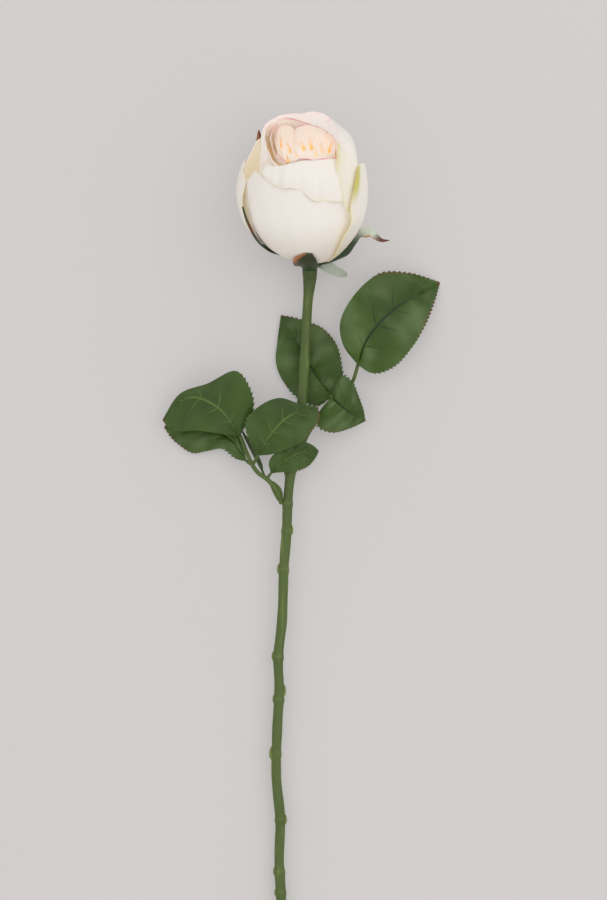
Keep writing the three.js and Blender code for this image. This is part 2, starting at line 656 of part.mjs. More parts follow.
// Leaflets, each as three curves of [x, y, z] from foot to tip: its midrib, and its left and right
// edge seen from above. puff: how far a half swells up between them. teeth: along each edge.
const LEAFLETS = {
  leaf_left_end: {
    puff: 0.8, teeth: 16, ribUp: true,
    rib: [[-31.6, 335.4, 10.8], [-43.6, 350.5, 16], [-57.7, 355.8, 15], [-72.4, 343.8, 7]],
    left: [
      [-31.6, 335.4, 10.8], [-39.4, 336.1, 13], [-47.3, 337.4, 14.5], [-55.1, 338.2, 14],
      [-62.6, 338, 11.5], [-68.9, 339.8, 9], [-72.4, 343.8, 7],
    ],
    right: [
      [-31.6, 335.4, 10.8], [-25, 349.5, 14.5], [-27, 361, 17], [-33.6, 369.4, 18],
      [-48.2, 362.9, 17], [-63.1, 357.4, 12], [-72.4, 343.8, 7],
    ],
  },
  leaf_left_lower: {
    puff: 0.6, teeth: 13, ribUp: false,
    rib: [[-27.9, 322, 11], [-37.9, 334.3, 7.5], [-54.3, 340.1, 4.5], [-71.9, 340.1, 0.3]],
    left: [
      [-27.9, 322, 11], [-33.2, 323.5, 8], [-40.6, 329.1, 6], [-48.5, 328, 4.4], [-56.5, 326.7, 3],
      [-65, 332.2, 1.4], [-71.9, 340.1, 0.3],
    ],
    right: [
      [-27.9, 322, 11], [-31.1, 332.2, 9], [-36.4, 341.7, 7.5], [-44.8, 348, 6.5],
      [-54.3, 349.1, 5], [-63.9, 346.5, 2.8], [-71.9, 340.1, 0.3],
    ],
  },
  leaf_left_centre: {
    puff: 0.8, teeth: 13, ribUp: true,
    rib: [[-22.1, 325.1, 15.8], [-14.7, 336.9, 19.5], [-5.8, 345.8, 20.5], [9.4, 350.5, 18]],
    left: [
      [-22.1, 325.1, 15.8], [-26.7, 334.3, 18], [-27.8, 343.7, 19.5], [-21.5, 350.8, 20.5],
      [-11, 355.2, 21], [-0.6, 352.3, 20], [9.4, 350.5, 18],
    ],
    right: [
      [-22.1, 325.1, 15.8], [-14.7, 325.9, 17.5], [-6.3, 329.3, 18.5], [1.5, 332.5, 18.5],
      [5.7, 338, 18], [9.4, 343.7, 18], [9.4, 350.5, 18],
    ],
  },
  leaf_left_small: {
    puff: 0.5, teeth: 11, ribUp: true,
    rib: [[-15.3, 315.7, 14], [-8.4, 322.5, 15.2], [0.5, 327, 15], [9.9, 327.5, 13.5]],
    left: [
      [-15.3, 315.7, 14], [-16.3, 321.7, 15], [-12.6, 327, 15.6], [-6.3, 330.1, 15.6],
      [1, 332.5, 15], [6.8, 330.4, 14], [9.9, 327.5, 13.5],
    ],
    right: [
      [-15.3, 315.7, 14], [-11.1, 316.2, 14.4], [-5.3, 316.7, 14.4], [0, 318, 14],
      [4.2, 319.9, 13.6], [7.8, 323.8, 13.5], [9.9, 327.5, 13.5],
    ],
  },
  leaf_left_edge: {
    puff: 0, teeth: 9, ribUp: false,
    rib: [[-19, 314.9, 10.4], [-22.4, 323, 7], [-27.2, 332, 5.3], [-31.7, 340.1, 4.4]],
    left: [[-19, 314.9, 10.4], [-22.5, 320.1, 3.4], [-27, 328.8, 1.6], [-31.7, 340.1, 4.4]],
    right: [[-19, 314.9, 10.4], [-19.8, 321.4, 11.6], [-24.8, 330.9, 9.6], [-31.7, 340.1, 4.4]],
  },
  leaf_right_end: {
    puff: 1.2, teeth: 17, ribUp: false,
    rib: [[30.4, 372.7, 11.4], [35.1, 385.9, 16], [48.2, 400.9, 15], [73.9, 416.5, 0]],
    left: [
      [30.4, 372.7, 11.4], [22.5, 383.6, 14], [21.2, 395.6, 16], [29.3, 410.3, 17],
      [41.4, 420.1, 14.5], [57.3, 420.6, 8.5], [73.9, 416.5, 0],
    ],
    right: [
      [30.4, 372.7, 11.4], [37.8, 368.7, 12], [49.3, 372.4, 12.5], [58.8, 382.4, 11.5],
      [65.2, 393.5, 9], [70, 405.5, 5], [73.9, 416.5, 0],
    ],
  },
  leaf_right_centre: {
    puff: 0.4, teeth: 14, ribUp: false,
    rib: [[17.1, 355.9, 7], [9.4, 365.7, 4], [0, 381.5, 2.6], [-10.1, 399.2, 2.4]],
    left: [
      [17.1, 355.9, 7], [8.9, 351.7, 4.4], [-0.6, 355.7, 2.6], [-9, 364.4, 2], [-12.7, 374.2, 1.8],
      [-11.7, 387.1, 2], [-10.1, 399.2, 2.4],
    ],
    right: [
      [17.1, 355.9, 7], [22.1, 361.7, 5.4], [21.6, 371.2, 4], [18.9, 383.4, 3], [11.6, 392.1, 2.6],
      [1, 396.1, 2.4], [-10.1, 399.2, 2.4],
    ],
  },
  leaf_right_small: {
    puff: 0.8, teeth: 11, ribUp: false,
    rib: [[16.8, 355.6, 12.4], [21, 351.6, 13.6], [26.7, 347.4, 12.8], [34.4, 343.3, 9]],
    left: [
      [16.8, 355.6, 12.4], [18.9, 361.6, 13.4], [22.8, 366.3, 13.8], [27.3, 363.2, 13.6],
      [30.4, 356.4, 12.4], [32.8, 350.1, 10.8], [34.4, 343.3, 9],
    ],
    right: [
      [16.8, 355.6, 12.4], [12.6, 350.1, 12.8], [9.2, 344.5, 12.6], [10.5, 340.1, 12],
      [17.3, 337.5, 11], [26.2, 339.6, 10], [34.4, 343.3, 9],
    ],
  },
};
const TOOTH = 0.75; // how far a tooth stands out
const FOOT_SHARE = 0.015; // where the blade starts and ends along its curves
const TIP_SHARE = 0.99;

function leaflet({ rib, left, right, puff, teeth, ribUp }) {
  const [middle, ...edges] = [rib, left, right].map(curveThrough);
  const rows = 2 * teeth;
  const place = (u, v) => {
    const side = Math.abs(2 * u - 1);
    const edge = edges[u < 0.5 ? 0 : 1];
    const share = lerp(FOOT_SHARE, TIP_SHARE, v);
    const base = middle.getPointAt(share);
    const out = edge.getPointAt(share).sub(base);
    const width = out.length();
    const tooth = TOOTH * (1 - Math.abs(((v * rows) % 2) - 1)) * Math.min(1, width / 5);
    const stretch = 1 + (tooth / width) * side ** 8;
    const forward = edge.getTangentAt(share).multiplyScalar(tooth * side ** 8);
    base.z += 4 * puff * side * (1 - side) * Math.min(1, width / 8);
    return base.addScaledVector(out, side * stretch).add(forward);
  };
  return sheet({
    columns: 4,
    rows,
    place,
    thickness: (u, v) => {
      const thicker = u === 0.5 ? RIB * (1 - 0.7 * v) : 0;
      return ribUp ? [BLADE / 2 + thicker, BLADE / 2] : [BLADE / 2, BLADE / 2 + thicker];
    },
  });
}

for (const [name, shape] of Object.entries(OUTER_PETALS)) addMesh(head, name, "petal", petal(shape));
addMesh(head, "petal_front_folded", "petal", foldedPetal());
addMesh(head, "heart_petals", "heart", heart());
addMesh(head, "calyx", "sepal", calyx());

const curve = stemCurve();
const fatStem = toSolid(
  rod({
    curve,
    radiusAt: stemRadius(curve, GAP),
    stations: evenStations(curve.getLength(), 6),
    sides: 16,
  }),
);
addMesh(rose, "stem", "stem", stem(curve));
addMesh(rose, "stalk_left", "stem", leafStalk(LEFT_STALK, fatStem));
addMesh(rose, "stalk_right", "stem", leafStalk(RIGHT_STALK, fatStem));
for (const [name, shape] of Object.entries(LEAFLETS)) addMesh(rose, name, "leaf", leaflet(shape));

export default rose;
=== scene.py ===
"""Dresses a packed rose bud: fabric petals, a pleated heart, serrated leaves, a moulded stem."""

import math

import bpy
import numpy as np
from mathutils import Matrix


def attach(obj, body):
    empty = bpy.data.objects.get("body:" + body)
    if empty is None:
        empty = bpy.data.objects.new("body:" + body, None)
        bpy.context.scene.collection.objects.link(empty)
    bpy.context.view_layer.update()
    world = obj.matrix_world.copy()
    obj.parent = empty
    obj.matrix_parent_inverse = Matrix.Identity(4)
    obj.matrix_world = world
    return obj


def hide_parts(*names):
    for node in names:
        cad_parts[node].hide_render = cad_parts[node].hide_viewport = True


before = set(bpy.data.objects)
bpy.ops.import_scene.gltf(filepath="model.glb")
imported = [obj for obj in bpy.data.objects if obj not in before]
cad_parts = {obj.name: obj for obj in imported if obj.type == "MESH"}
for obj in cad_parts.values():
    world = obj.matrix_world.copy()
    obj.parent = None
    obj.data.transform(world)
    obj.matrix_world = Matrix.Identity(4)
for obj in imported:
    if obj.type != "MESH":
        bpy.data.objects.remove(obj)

bl_info = {
    "name": "Rose bud",
    "version": (1, 0, 0),
    "blender": (4, 5, 0),
    "location": "3D View > Sidebar > Rose",
    "description": "Models a cut rose bud with its leaves around its packed frame",
    "category": "Add Mesh",
}

MM = 0.001
BLACK = (0, 0, 0)
BODY = "root"

# The head's form, in millimetres and degrees, as in the part's solids, a little fuller below.
CENTRE = np.array([0.8, 251.8, 0])  # middle of the rose, measured from the cut end of the stem
HEAD_BASE = np.array([0.9, 431, 16.3])
HEAD_TILT = 28
HEAD_RADIUS = 31.6
HEAD_MIDDLE = 31
HEAD_DROP = 34.5
HEAD_RISE = 52
LOW_FULLNESS = 1.75
LOW_ROUNDNESS = 0.6
HIGH_FULLNESS = 2.2
HIGH_ROUNDNESS = 0.53
SWAY = 4.2
SWAY_HEIGHT = 10
FIRST_LATITUDE = 16


def tone(red, green, blue):
    """Linear colour of a screen colour given from 0 to 255."""
    parts = [part / 255 for part in (red, green, blue)]
    return [p / 12.92 if p <= 0.04045 else ((p + 0.055) / 1.055) ** 2.4 for p in parts]


def length_property(name, millimetres, description):
    """A length that a user may change."""
    return bpy.props.FloatProperty(
        name=name,
        description=description,
        default=millimetres * MM,
        min=0,
        precision=5,
        unit="LENGTH",
    )


def colour_property(name, screen_colour, description):
    """A colour that a user may change."""
    return bpy.props.FloatVectorProperty(
        name=name,
        description=description,
        default=tone(*screen_colour),
        min=0,
        max=1,
        size=3,
        subtype="COLOR",
    )


class RoseSizes(bpy.types.PropertyGroup):
    """Sizes that a user may change."""

    petal: length_property("Petal", 0.42, "Thickness of a petal")
    crease: length_property("Crease", 0.16, "Depth of the soft creases in a petal")
    wave: length_property("Wave", 0.45, "Height of the waves in a petal's upper edge")
    sepal: length_property("Sepal", 0.7, "Thickness of a sepal")
    blade: length_property("Blade", 0.4, "Thickness of a leaflet between its veins")
    rib: length_property("Rib", 0.75, "Height of a leaflet's midrib")
    vein: length_property("Vein", 0.42, "Depth of the grooves over the side veins")
    tooth: length_property("Tooth", 1.25, "How far a tooth stands out from a leaflet's edge")
    camera: length_property("Camera", 2200, "Height of the camera above the table")


class RoseColours(bpy.types.PropertyGroup):
    """Colours that a user may change."""

    petal: colour_property("Petal", (246, 240, 232), "Outer face of a petal")
    # Painted shade: the darker, warmer outer face near the calyx.
    petal_foot_shade: colour_property("Petal foot", (238, 227, 213), "Outer face near the calyx")
    # Painted warm shade of a petal's inner face, stronger below its rim.
    petal_inside_shade: colour_property("Petal inside", (250, 242, 218), "Inner face of a petal")
    petal_white: colour_property("White inside", (240, 241, 245), "Inner face of the tall petals")
    yellow_edge: colour_property("Yellow edge", (228, 218, 142), "Edge of the outer petals")
    pink_edge: colour_property("Pink edge", (236, 150, 178), "Edge of the inner petals")
    green_patch: colour_property("Green patch", (206, 200, 84), "Patch inside the right petal")
    peach: colour_property("Peach", (255, 233, 216), "Middle of the heart")
    # Painted warm shade in the deep folds of the heart, which also glows faintly in it.
    fold_shade: colour_property("Recess", (252, 208, 122), "Deep folds of the heart")
    leaf: colour_property("Leaf", (54, 80, 18), "Upper face of a leaflet")
    leaf_groove: colour_property("Leaf groove", (26, 50, 14), "Groove over a vein")
    leaf_under: colour_property("Leaf underside", (55, 79, 24), "Lower face of a leaflet")
    leaf_rib: colour_property("Leaf rib", (88, 112, 50), "Raised vein on the lower face")
    # Painted sheen: light grey-green streaks mixed into the leaflets for their glossy reflection.
    painted_leaf_sheen: colour_property("Leaf sheen", (128, 146, 104), "Waxy patches of a leaflet")
    leaf_tip: colour_property("Leaf tip", (110, 44, 30), "Teeth near a leaflet's tip")
    sepal: colour_property("Sepal", (38, 58, 26), "Outer face of a sepal")
    sepal_pale: colour_property("Pale sepal", (206, 214, 196), "Inner face of a sepal")
    sepal_tip: colour_property("Sepal tip", (104, 40, 26), "Tip of a sepal")
    sepal_warm: colour_property("Warm sepal edge", (206, 128, 84), "Orange tinge of a sepal's edge")
    stem: colour_property("Stem", (78, 98, 36), "Stem and stalks")
    stem_streak: colour_property("Stem streak", (110, 126, 58), "Pale streaks along the stem")
    bud: colour_property("Side bud", (116, 130, 56), "Small buds on the stem")
    table: colour_property("Table", (212, 209, 208), "Table under the rose")


# Numbers along curves


def lerp(start, end, share):
    """Number between start and end."""
    return start + (end - start) * share


def smoothstep(value, low, high):
    """0 below low, 1 above high, and smooth between them."""
    share = np.clip((value - low) / (high - low), 0, 1)
    return share * share * (3 - 2 * share)


def along(values, share):
    """Value at a share (0 to 1) of a smooth curve through evenly spaced values.

    Each value may also be an array, with a number for each share.
    """
    values = np.asarray(values, float)
    values = np.broadcast_to(values.reshape(len(values), -1), (len(values), len(share)))
    last = len(values) - 1
    place = np.clip(share, 0, 1) * last
    index = np.minimum(place.astype(int), last - 1)
    f = place - index
    before = 2 * values[:1] - values[1:2]
    after = 2 * values[-1:] - values[-2:-1]
    padded = np.concatenate((before, values, after))
    a, b, c, d = (np.take_along_axis(padded, index[None] + k, 0)[0] for k in range(4))
    bend = 2 * a - 5 * b + 4 * c - d + f * (3 * (b - c) + d - a)
    return b + f / 2 * (c - a + f * bend)


SAMPLES = 60  # points that a path keeps between two of its knots


class Path:
    """Smooth curve through points in space, read by its share of the length."""

    def __init__(self, points):
        knots = [np.asarray(p, float) for p in points]
        knots = [2 * knots[0] - knots[1], *knots, 2 * knots[-1] - knots[-2]]
        steps = np.linspace(0, 1, SAMPLES)[:, None]
        parts = []
        for p0, p1, p2, p3 in zip(knots, knots[1:], knots[2:], knots[3:]):
            pairs = ((p0, p1), (p1, p2), (p2, p3))
            first, middle, last = (max(np.linalg.norm(q - p), 1e-6) ** 0.5 for p, q in pairs)
            start = (p1 - p0) / first - (p2 - p0) / (first + middle) + (p2 - p1) / middle
            end = (p2 - p1) / middle - (p3 - p1) / (middle + last) + (p3 - p2) / last
            start, end = start * middle, end * middle
            cubic = 2 * p1 - 2 * p2 + start + end
            square = -3 * p1 + 3 * p2 - 2 * start - end
            parts.append(p1 + steps * (start + steps * (square + steps * cubic)))
        samples = np.concatenate([parts[0][:1], *[part[1:] for part in parts]])
        distances = np.linalg.norm(np.diff(samples, axis=0), axis=1)
        self.samples = samples
        self.distances = np.concatenate(([0], np.cumsum(distances)))
        self.length = self.distances[-1]

    def at(self, share):
        """Point at a share of the length."""
        distance = np.clip(share, 0, 1) * self.length
        return np.stack([np.interp(distance, self.distances, s) for s in self.samples.T], -1)

    def direction(self, share):
        """Unit direction at a share of the length."""
        step = 0.004
        ahead = self.at(np.minimum(share + step, 1)) - self.at(np.maximum(share - step, 0))
        return unit(ahead)


def unit(vectors):
    """Vectors of length one."""
    return vectors / np.maximum(np.linalg.norm(vectors, axis=-1, keepdims=True), 1e-9)


# The head's form


def profile(latitude):
    """Radius and height of the middle whorl at a latitude from its base."""
    c = -np.cos(np.radians(latitude))
    low = c < 0
    fullness = np.where(low, LOW_FULLNESS, HIGH_FULLNESS)
    roundness = np.where(low, LOW_ROUNDNESS, HIGH_ROUNDNESS)
    radius = HEAD_RADIUS * (1 - np.abs(c) ** fullness) ** roundness
    return radius, HEAD_MIDDLE + c * np.where(low, HEAD_DROP, HEAD_RISE)


def latitude_of(height):
    """Latitude of a height on the middle whorl."""
    c = (height - HEAD_MIDDLE) / np.where(height < HEAD_MIDDLE, HEAD_DROP, HEAD_RISE)
    return np.degrees(np.arccos(-c))


def leveled(latitude, level):
    """Radius and height at a level outside the middle whorl, square to it."""
    radius, height = profile(latitude)
    below = profile(latitude - 0.1)
    above = profile(latitude + 0.1)
    out, up = above[0] - below[0], above[1] - below[1]
    length = np.hypot(out, up)
    return radius + level * up / length, height - level * out / length


def turned(azimuth, radius, height):
    """Point of the head; azimuth 0 faces up from the table and 90 faces right."""
    turn = np.radians(azimuth)
    shift = SWAY * np.exp(-np.maximum(height, 0) / SWAY_HEIGHT)
    parts = np.broadcast_arrays(radius * np.sin(turn) + shift, -radius * np.cos(turn), height)
    return np.stack(parts, -1)


def on_head(azimuth, latitude, level):
    """Point of the head at an azimuth, a latitude and a level."""
    return turned(azimuth, *leveled(latitude, level))


def from_head(points):
    """Points of the head's own axes in those of the rose lying on the table."""
    tilt = math.radians(HEAD_TILT - 90)
    x, y, z = np.moveaxis(points, -1, 0)
    turned_y = y * math.cos(tilt) - z * math.sin(tilt)
    turned_z = y * math.sin(tilt) + z * math.cos(tilt)
    return np.stack([x, turned_y, turned_z], -1) + HEAD_BASE


# Mesh making


def read_points(piece):
    """Vertices of a piece as an array."""
    points = np.empty(len(piece.data.vertices) * 3, np.float32)
    piece.data.vertices.foreach_get("co", points)
    return points.reshape(-1, 3).astype(float)


def write_points(piece, points):
    """Moves the vertices of a piece."""
    piece.data.vertices.foreach_set("co", points.astype(np.float32).ravel())
    piece.data.update()


def write_value(piece, name, values):
    """Gives each vertex of a piece a number that its material reads."""
    layer = piece.data.attributes.new(name, "FLOAT", "POINT")
    layer.data.foreach_set("value", np.broadcast_to(values, len(layer.data)).astype(np.float32))


def edit(piece, *steps):
    """Runs mesh operators on all of a piece in edit mode."""
    activate(piece)
    bpy.ops.object.mode_set(mode="EDIT")
    bpy.ops.mesh.select_all(action="SELECT")
    for step in steps:
        step()
    bpy.ops.object.mode_set(mode="OBJECT")


def activate(piece, *others):
    """Selects pieces and makes the first one active."""
    bpy.ops.object.select_all(action="DESELECT")
    for one in (piece, *others):
        one.select_set(True)
    bpy.context.view_layer.objects.active = piece


def surface(name, grid, place, marks=None):
    """Grid shaped by place(u, v), which gives millimetres in the axes of the lying rose.

    grid: faces across and along it. marks: numbers that its material reads, each as a function.
    """
    bpy.ops.object.select_all(action="DESELECT")
    bpy.ops.mesh.primitive_grid_add(x_subdivisions=grid[0], y_subdivisions=grid[1], size=1)
    piece = bpy.context.object
    piece.name = name
    u, v = (read_points(piece)[:, :2] + 0.5).T
    write_points(piece, (place(u, v) - CENTRE) * MM)
    for mark, value in (marks or {}).items():
        write_value(piece, mark, value(u, v))
    return piece


def sheet(name, grid, thickness, place, marks=None):
    """Surface with a thickness, half on each side; second_face marks its inner face."""
    piece = surface(name, grid, place, marks)
    count = len(piece.data.vertices)
    activate(piece)
    wall = piece.modifiers.new("Wall", "SOLIDIFY")
    wall.thickness = thickness
    wall.offset = 0
    bpy.ops.object.modifier_apply(modifier=wall.name)
    inner = np.arange(len(piece.data.vertices)) >= count
    write_value(piece, "second_face", inner)
    points = read_points(piece)
    points[:, 2] = np.maximum(points[:, 2], 0)  # nothing reaches into the table
    write_points(piece, points)
    return piece


def zero(u, v):
    """A mark that is 0 all over."""
    return 0 * u


def merge_seams():
    """Closes the seams and poles of the selected mesh and turns its faces outward."""
    bpy.ops.mesh.remove_doubles(threshold=1e-6)
    bpy.ops.mesh.normals_make_consistent(inside=False)


def join(name, pieces):
    """One object from many."""
    activate(*pieces)
    bpy.ops.object.join()
    pieces[0].name = name
    return pieces[0]


SHARP_EDGE = math.radians(50)


def finish_piece(piece, material, node):
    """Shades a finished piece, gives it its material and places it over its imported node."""
    activate(piece)
    bpy.ops.object.shade_smooth_by_angle(angle=SHARP_EDGE)
    piece.data.materials.clear()
    piece.data.materials.append(material)
    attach(piece, BODY)
    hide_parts(node)


def slopes(place, u, v):
    """Unit normal of the surface place(u, v)."""
    step = 1e-3
    across = place(np.minimum(u + step, 1), v) - place(np.maximum(u - step, 0), v)
    up = place(u, np.minimum(v + step, 1)) - place(u, np.maximum(v - step, 0))
    return unit(np.cross(across, up))


# Materials


class Wire:
    """An output socket in arithmetic: an expression on it adds Math nodes to its tree."""

    def __init__(self, socket):
        self.socket = socket

    def math(self, operation, *others, swapped=False):
        """Result of a Math node on this wire and others, or on them in reverse order."""
        tree = self.socket.id_data
        node = tree.nodes.new("ShaderNodeMath")
        node.operation = operation
        operands = [self, *others]
        if swapped:
            operands.reverse()
        for slot, operand in zip(node.inputs, operands):
            if isinstance(operand, Wire):
                tree.links.new(operand.socket, slot)
            else:
                slot.default_value = operand
        return Wire(node.outputs[0])

    def __add__(self, other):
        return self.math("ADD", other)

    def __sub__(self, other):
        return self.math("SUBTRACT", other)

    def __rsub__(self, other):
        return self.math("SUBTRACT", other, swapped=True)

    def __mul__(self, other):
        return self.math("MULTIPLY", other)

    def __abs__(self):
        return self.math("ABSOLUTE")


class Finish:
    """Node tree of one material, round its Principled shader."""

    def __init__(self, name, roughness, **constants):
        self.material = bpy.data.materials.new(name)
        self.material.use_nodes = True
        self.tree = self.material.node_tree
        self.shader = self.tree.nodes["Principled BSDF"]
        self.shader.inputs["Roughness"].default_value = roughness
        for socket, value in constants.items():
            self.shader.inputs[socket.replace("_", " ")].default_value = value

    def node(self, kind, settings=None, inputs=None, output=0):
        """Adds a node, sets it up, then fills its sockets with values or wires."""
        node = self.tree.nodes.new("ShaderNode" + kind)
        for key, value in (settings or {}).items():
            setattr(node, key, value)
        for key, value in (inputs or {}).items():
            if isinstance(value, Wire):
                self.tree.links.new(value.socket, node.inputs[key])
            else:
                node.inputs[key].default_value = value
        return Wire(node.outputs[output])

    def feed(self, socket, wire):
        """Links a wire to a socket of the Principled shader."""
        self.tree.links.new(wire.socket, self.shader.inputs[socket])

    def value(self, name):
        """A number kept on the mesh."""
        return self.node("Attribute", {"attribute_name": name}, output="Fac")

    def uv(self):
        """The two coordinates along the piece's own surface."""
        coordinates = self.node("UVMap")
        split = self.node("SeparateXYZ", inputs={0: coordinates})
        return split, Wire(split.socket.node.outputs[1])

    def stretched(self, source, scale):
        """Coordinates scaled for a pattern."""
        return self.node("Mapping", inputs={"Vector": source, "Scale": scale})

    def place(self, scale=(1, 1, 1)):
        """Coordinates in the object's own space."""
        return self.stretched(self.node("TexCoord", output="Object"), scale)

    def noise(self, vector, scale, detail=3):
        """Soft noise from 0 to 1."""
        return self.node("TexNoise", inputs={"Vector": vector, "Scale": scale, "Detail": detail})

    def step(self, wire, low, high, start=0.0, end=1.0):
        """Number that goes smoothly from start to end as a wire goes from low to high."""
        settings = {"interpolation_type": "SMOOTHSTEP"}
        inputs = {"Value": wire, "From Min": low, "From Max": high, "To Min": start, "To Max": end}
        return self.node("MapRange", settings, inputs)

    def mix(self, factor, first, second):
        """Colour between two colours, each a wire or three numbers."""
        settings = {"data_type": "RGBA"}
        inputs = {0: factor}
        for key, colour in ((6, first), (7, second)):
            inputs[key] = colour if isinstance(colour, Wire) else (*colour, 1)
        return self.node("Mix", settings, inputs, output=2)

    def edge(self, distance, width):
        """Strong line at an edge, with a faint broad tint beside it."""
        return self.step(distance, width, 0.0) * 0.75 + self.step(distance, width * 5, 0.0) * 0.25

    def bump(self, height, distance, strength=1.0):
        """Lets a height bend the light."""
        inputs = {"Height": height, "Distance": distance, "Strength": strength}
        self.feed("Normal", self.node("Bump", inputs=inputs))


# Thin fabric lets light through, so the inner faces give off a little of what falls on the back.
THROUGH_LIGHT = 0.15
FABRIC_ROUGHNESS = 0.75
PLASTIC_ROUGHNESS = 0.5
GRAIN = 2600  # fineness of the fabric's grain
THREADS = (110, 6, 1)  # threads across a petal, and how often they change along it
RIGHT_BAND = 0.022
TOP_BAND = 0.016


def shaded(colour, *factors):
    """A colour times one factor, or times one for each of its three numbers."""
    return [c * factor for c, factor in zip(colour, factors * (3 // len(factors)))]


def petal_finish(name, colours, look):
    """Cream fabric with fine threads and coloured edges, as a petal's own look says."""
    finish = Finish(name, FABRIC_ROUGHNESS, Emission_Strength=THROUGH_LIGHT)
    inside, edge = getattr(colours, look["inside"]), getattr(colours, look["edge"])
    u, v = finish.uv()
    inner = finish.value("second_face")
    patches = finish.noise(finish.place(), 90)
    ragged = (patches - 0.5) * 0.02
    left_tint, right_tint, top_tint = look["tint"]
    left = finish.edge(u + ragged, look["band"]) * finish.step(v, 0.12, 0.35) * left_tint
    right = finish.edge(1 - u + ragged, RIGHT_BAND) * right_tint
    top = finish.edge(1 - v + ragged, TOP_BAND) * top_tint
    edge_mask = left.math("MAXIMUM", right).math("MAXIMUM", top)
    # Painted shade: the outer face darkens towards the calyx, more where the look gives a shade.
    foot = finish.step(v + (patches - 0.5) * 0.3, 0.8, 0.1)
    body = finish.mix(foot, colours.petal, shaded(colours.petal_foot_shade, *look["shade"]))
    # Painted warm shade: the inner face takes its inside colour, 0.15 of it at the rim, 0.9 lower.
    body = finish.mix(inner * finish.step(v, 1.0, 0.86, 0.15, 0.9), body, inside)
    finish.feed("Emission Color", finish.mix(inner, BLACK, shaded(inside, look["glow"])))
    edge_mask = edge_mask * finish.step(patches, 0.3, 0.6, 0.35, 1.0)
    body = finish.mix(edge_mask, body, edge)
    corner = finish.step(u, 0.3, 0.06) * finish.step(v, 0.8, 0.92) * look["patch"]
    finish.feed("Base Color", finish.mix(corner, body, colours.green_patch))
    threads = finish.noise(finish.stretched(finish.node("UVMap"), THREADS), 1.0, 2)
    grain = finish.noise(finish.place(), GRAIN, 1)
    finish.bump(threads * 0.75 + grain * 0.25, 0.00018, 0.8)
    return finish.material


def heart_finish(colours):
    """Cream and peach fabric, pink on the rims, with painted orange shade and a glow in the folds.
    """
    finish = Finish("heart_fabric", FABRIC_ROUGHNESS, Emission_Strength=THROUGH_LIGHT)
    depth, pink, peach = (finish.value(name) for name in ("depth", "pink", "peach"))
    patches = finish.noise(finish.place(), 170)
    warmth = peach * finish.step(patches, 0.2, 0.7, 0.6, 1.0)
    body = finish.mix(warmth, colours.petal, colours.peach)
    # Painted shade: the fold colour takes over where the depth mark is high.
    deep = finish.step(depth + (patches - 0.5) * 0.2, 0.1, 1.05)
    body = finish.mix(deep, body, colours.fold_shade)
    # Painted light: the heart glows in its fold colour, 0.3 of it on open faces, all of it in
    # folds.
    finish.feed("Emission Color", finish.mix(depth * 0.7 + 0.3, BLACK, colours.fold_shade))
    pink = pink * finish.step(patches, 0.3, 0.55, 0.25, 1.0)
    finish.feed("Base Color", finish.mix(pink, body, colours.pink_edge))
    finish.bump(finish.noise(finish.place(), GRAIN, 1), 0.0001, 0.5)
    return finish.material


SIDE_VEINS = 5
VEIN_SLANT = 0.24


def vein_phase(side, v):
    """Number that is a whole at each side vein, on numbers and on wires alike."""
    return (v * 1.08 - side * VEIN_SLANT + 0.04) * SIDE_VEINS


def leaf_finish(name, colours, rib_up):
    """Leaf fabric with short veins, a painted sheen and red-brown teeth near its tip."""
    finish = Finish(name, 0.42, Specular_IOR_Level=0.3)
    u, v = finish.uv()
    side = abs(u * 2 - 1)
    patches = finish.noise(finish.place(), 55)
    if rib_up:
        body, line, painted_sheen = colours.leaf_under, colours.leaf_rib, 0.1
    else:
        body, line, painted_sheen = colours.leaf, colours.leaf_groove, 0.35
    phase = vein_phase(side, v) + (patches - 0.5) * 0.25
    from_vein = abs(phase.math("FRACT") - 0.5)
    reach = finish.step(side + (patches - 0.5) * 0.5, 0.5, 0.15)
    along_leaf = finish.step(v, 0.08, 0.2) * finish.step(v, 0.95, 0.75)
    side_vein = finish.step(from_vein, 0.45, 0.5) * (reach * 0.8 + 0.08) * along_leaf
    midrib = finish.step(side, 0.05, 0.014) * finish.step(v, 0.85, 0.55)
    veins = side_vein.math("MAXIMUM", midrib)
    mottle = finish.step(patches, 0.25, 0.75)
    mottled = finish.mix(mottle, shaded(body, 0.82), shaded(body, 1.3))
    # Painted sheen: lighter streaks mixed into the colour, stronger on the upper faces.
    bands = finish.noise(finish.stretched(finish.node("UVMap"), (1.6, 5, 1)), 1.0, 1)
    sheen = finish.step(bands + patches * 0.3, 0.5, 0.9) * painted_sheen
    mottled = finish.mix(sheen, mottled, colours.painted_leaf_sheen)
    coloured = finish.mix(veins, mottled, line)
    near_edge = finish.step(side, 0.9, 0.97) * finish.value("tooth")
    near_tip = finish.step(v + (patches - 0.5) * 0.5, 0.35, 0.7)
    very_tip = finish.step(v + (patches - 0.5) * 0.06, 0.96, 1.0)
    red = (near_edge * near_tip).math("MAXIMUM", very_tip)
    finish.feed("Base Color", finish.mix(red * 0.9, coloured, colours.leaf_tip))
    finish.feed("Roughness", finish.step(patches, 0.2, 0.8, 0.34, 0.52))
    fine = finish.noise(finish.stretched(finish.node("UVMap"), (14, 40, 1)), 1.0, 3)
    inputs = {"Vector": finish.place(), "Scale": 700}
    cells = finish.node("TexVoronoi", {"feature": "DISTANCE_TO_EDGE"}, inputs)
    finish.bump(fine * 0.8 + finish.step(cells, 0.0, 0.15) * 0.2, 0.0004, 0.5)
    return finish.material


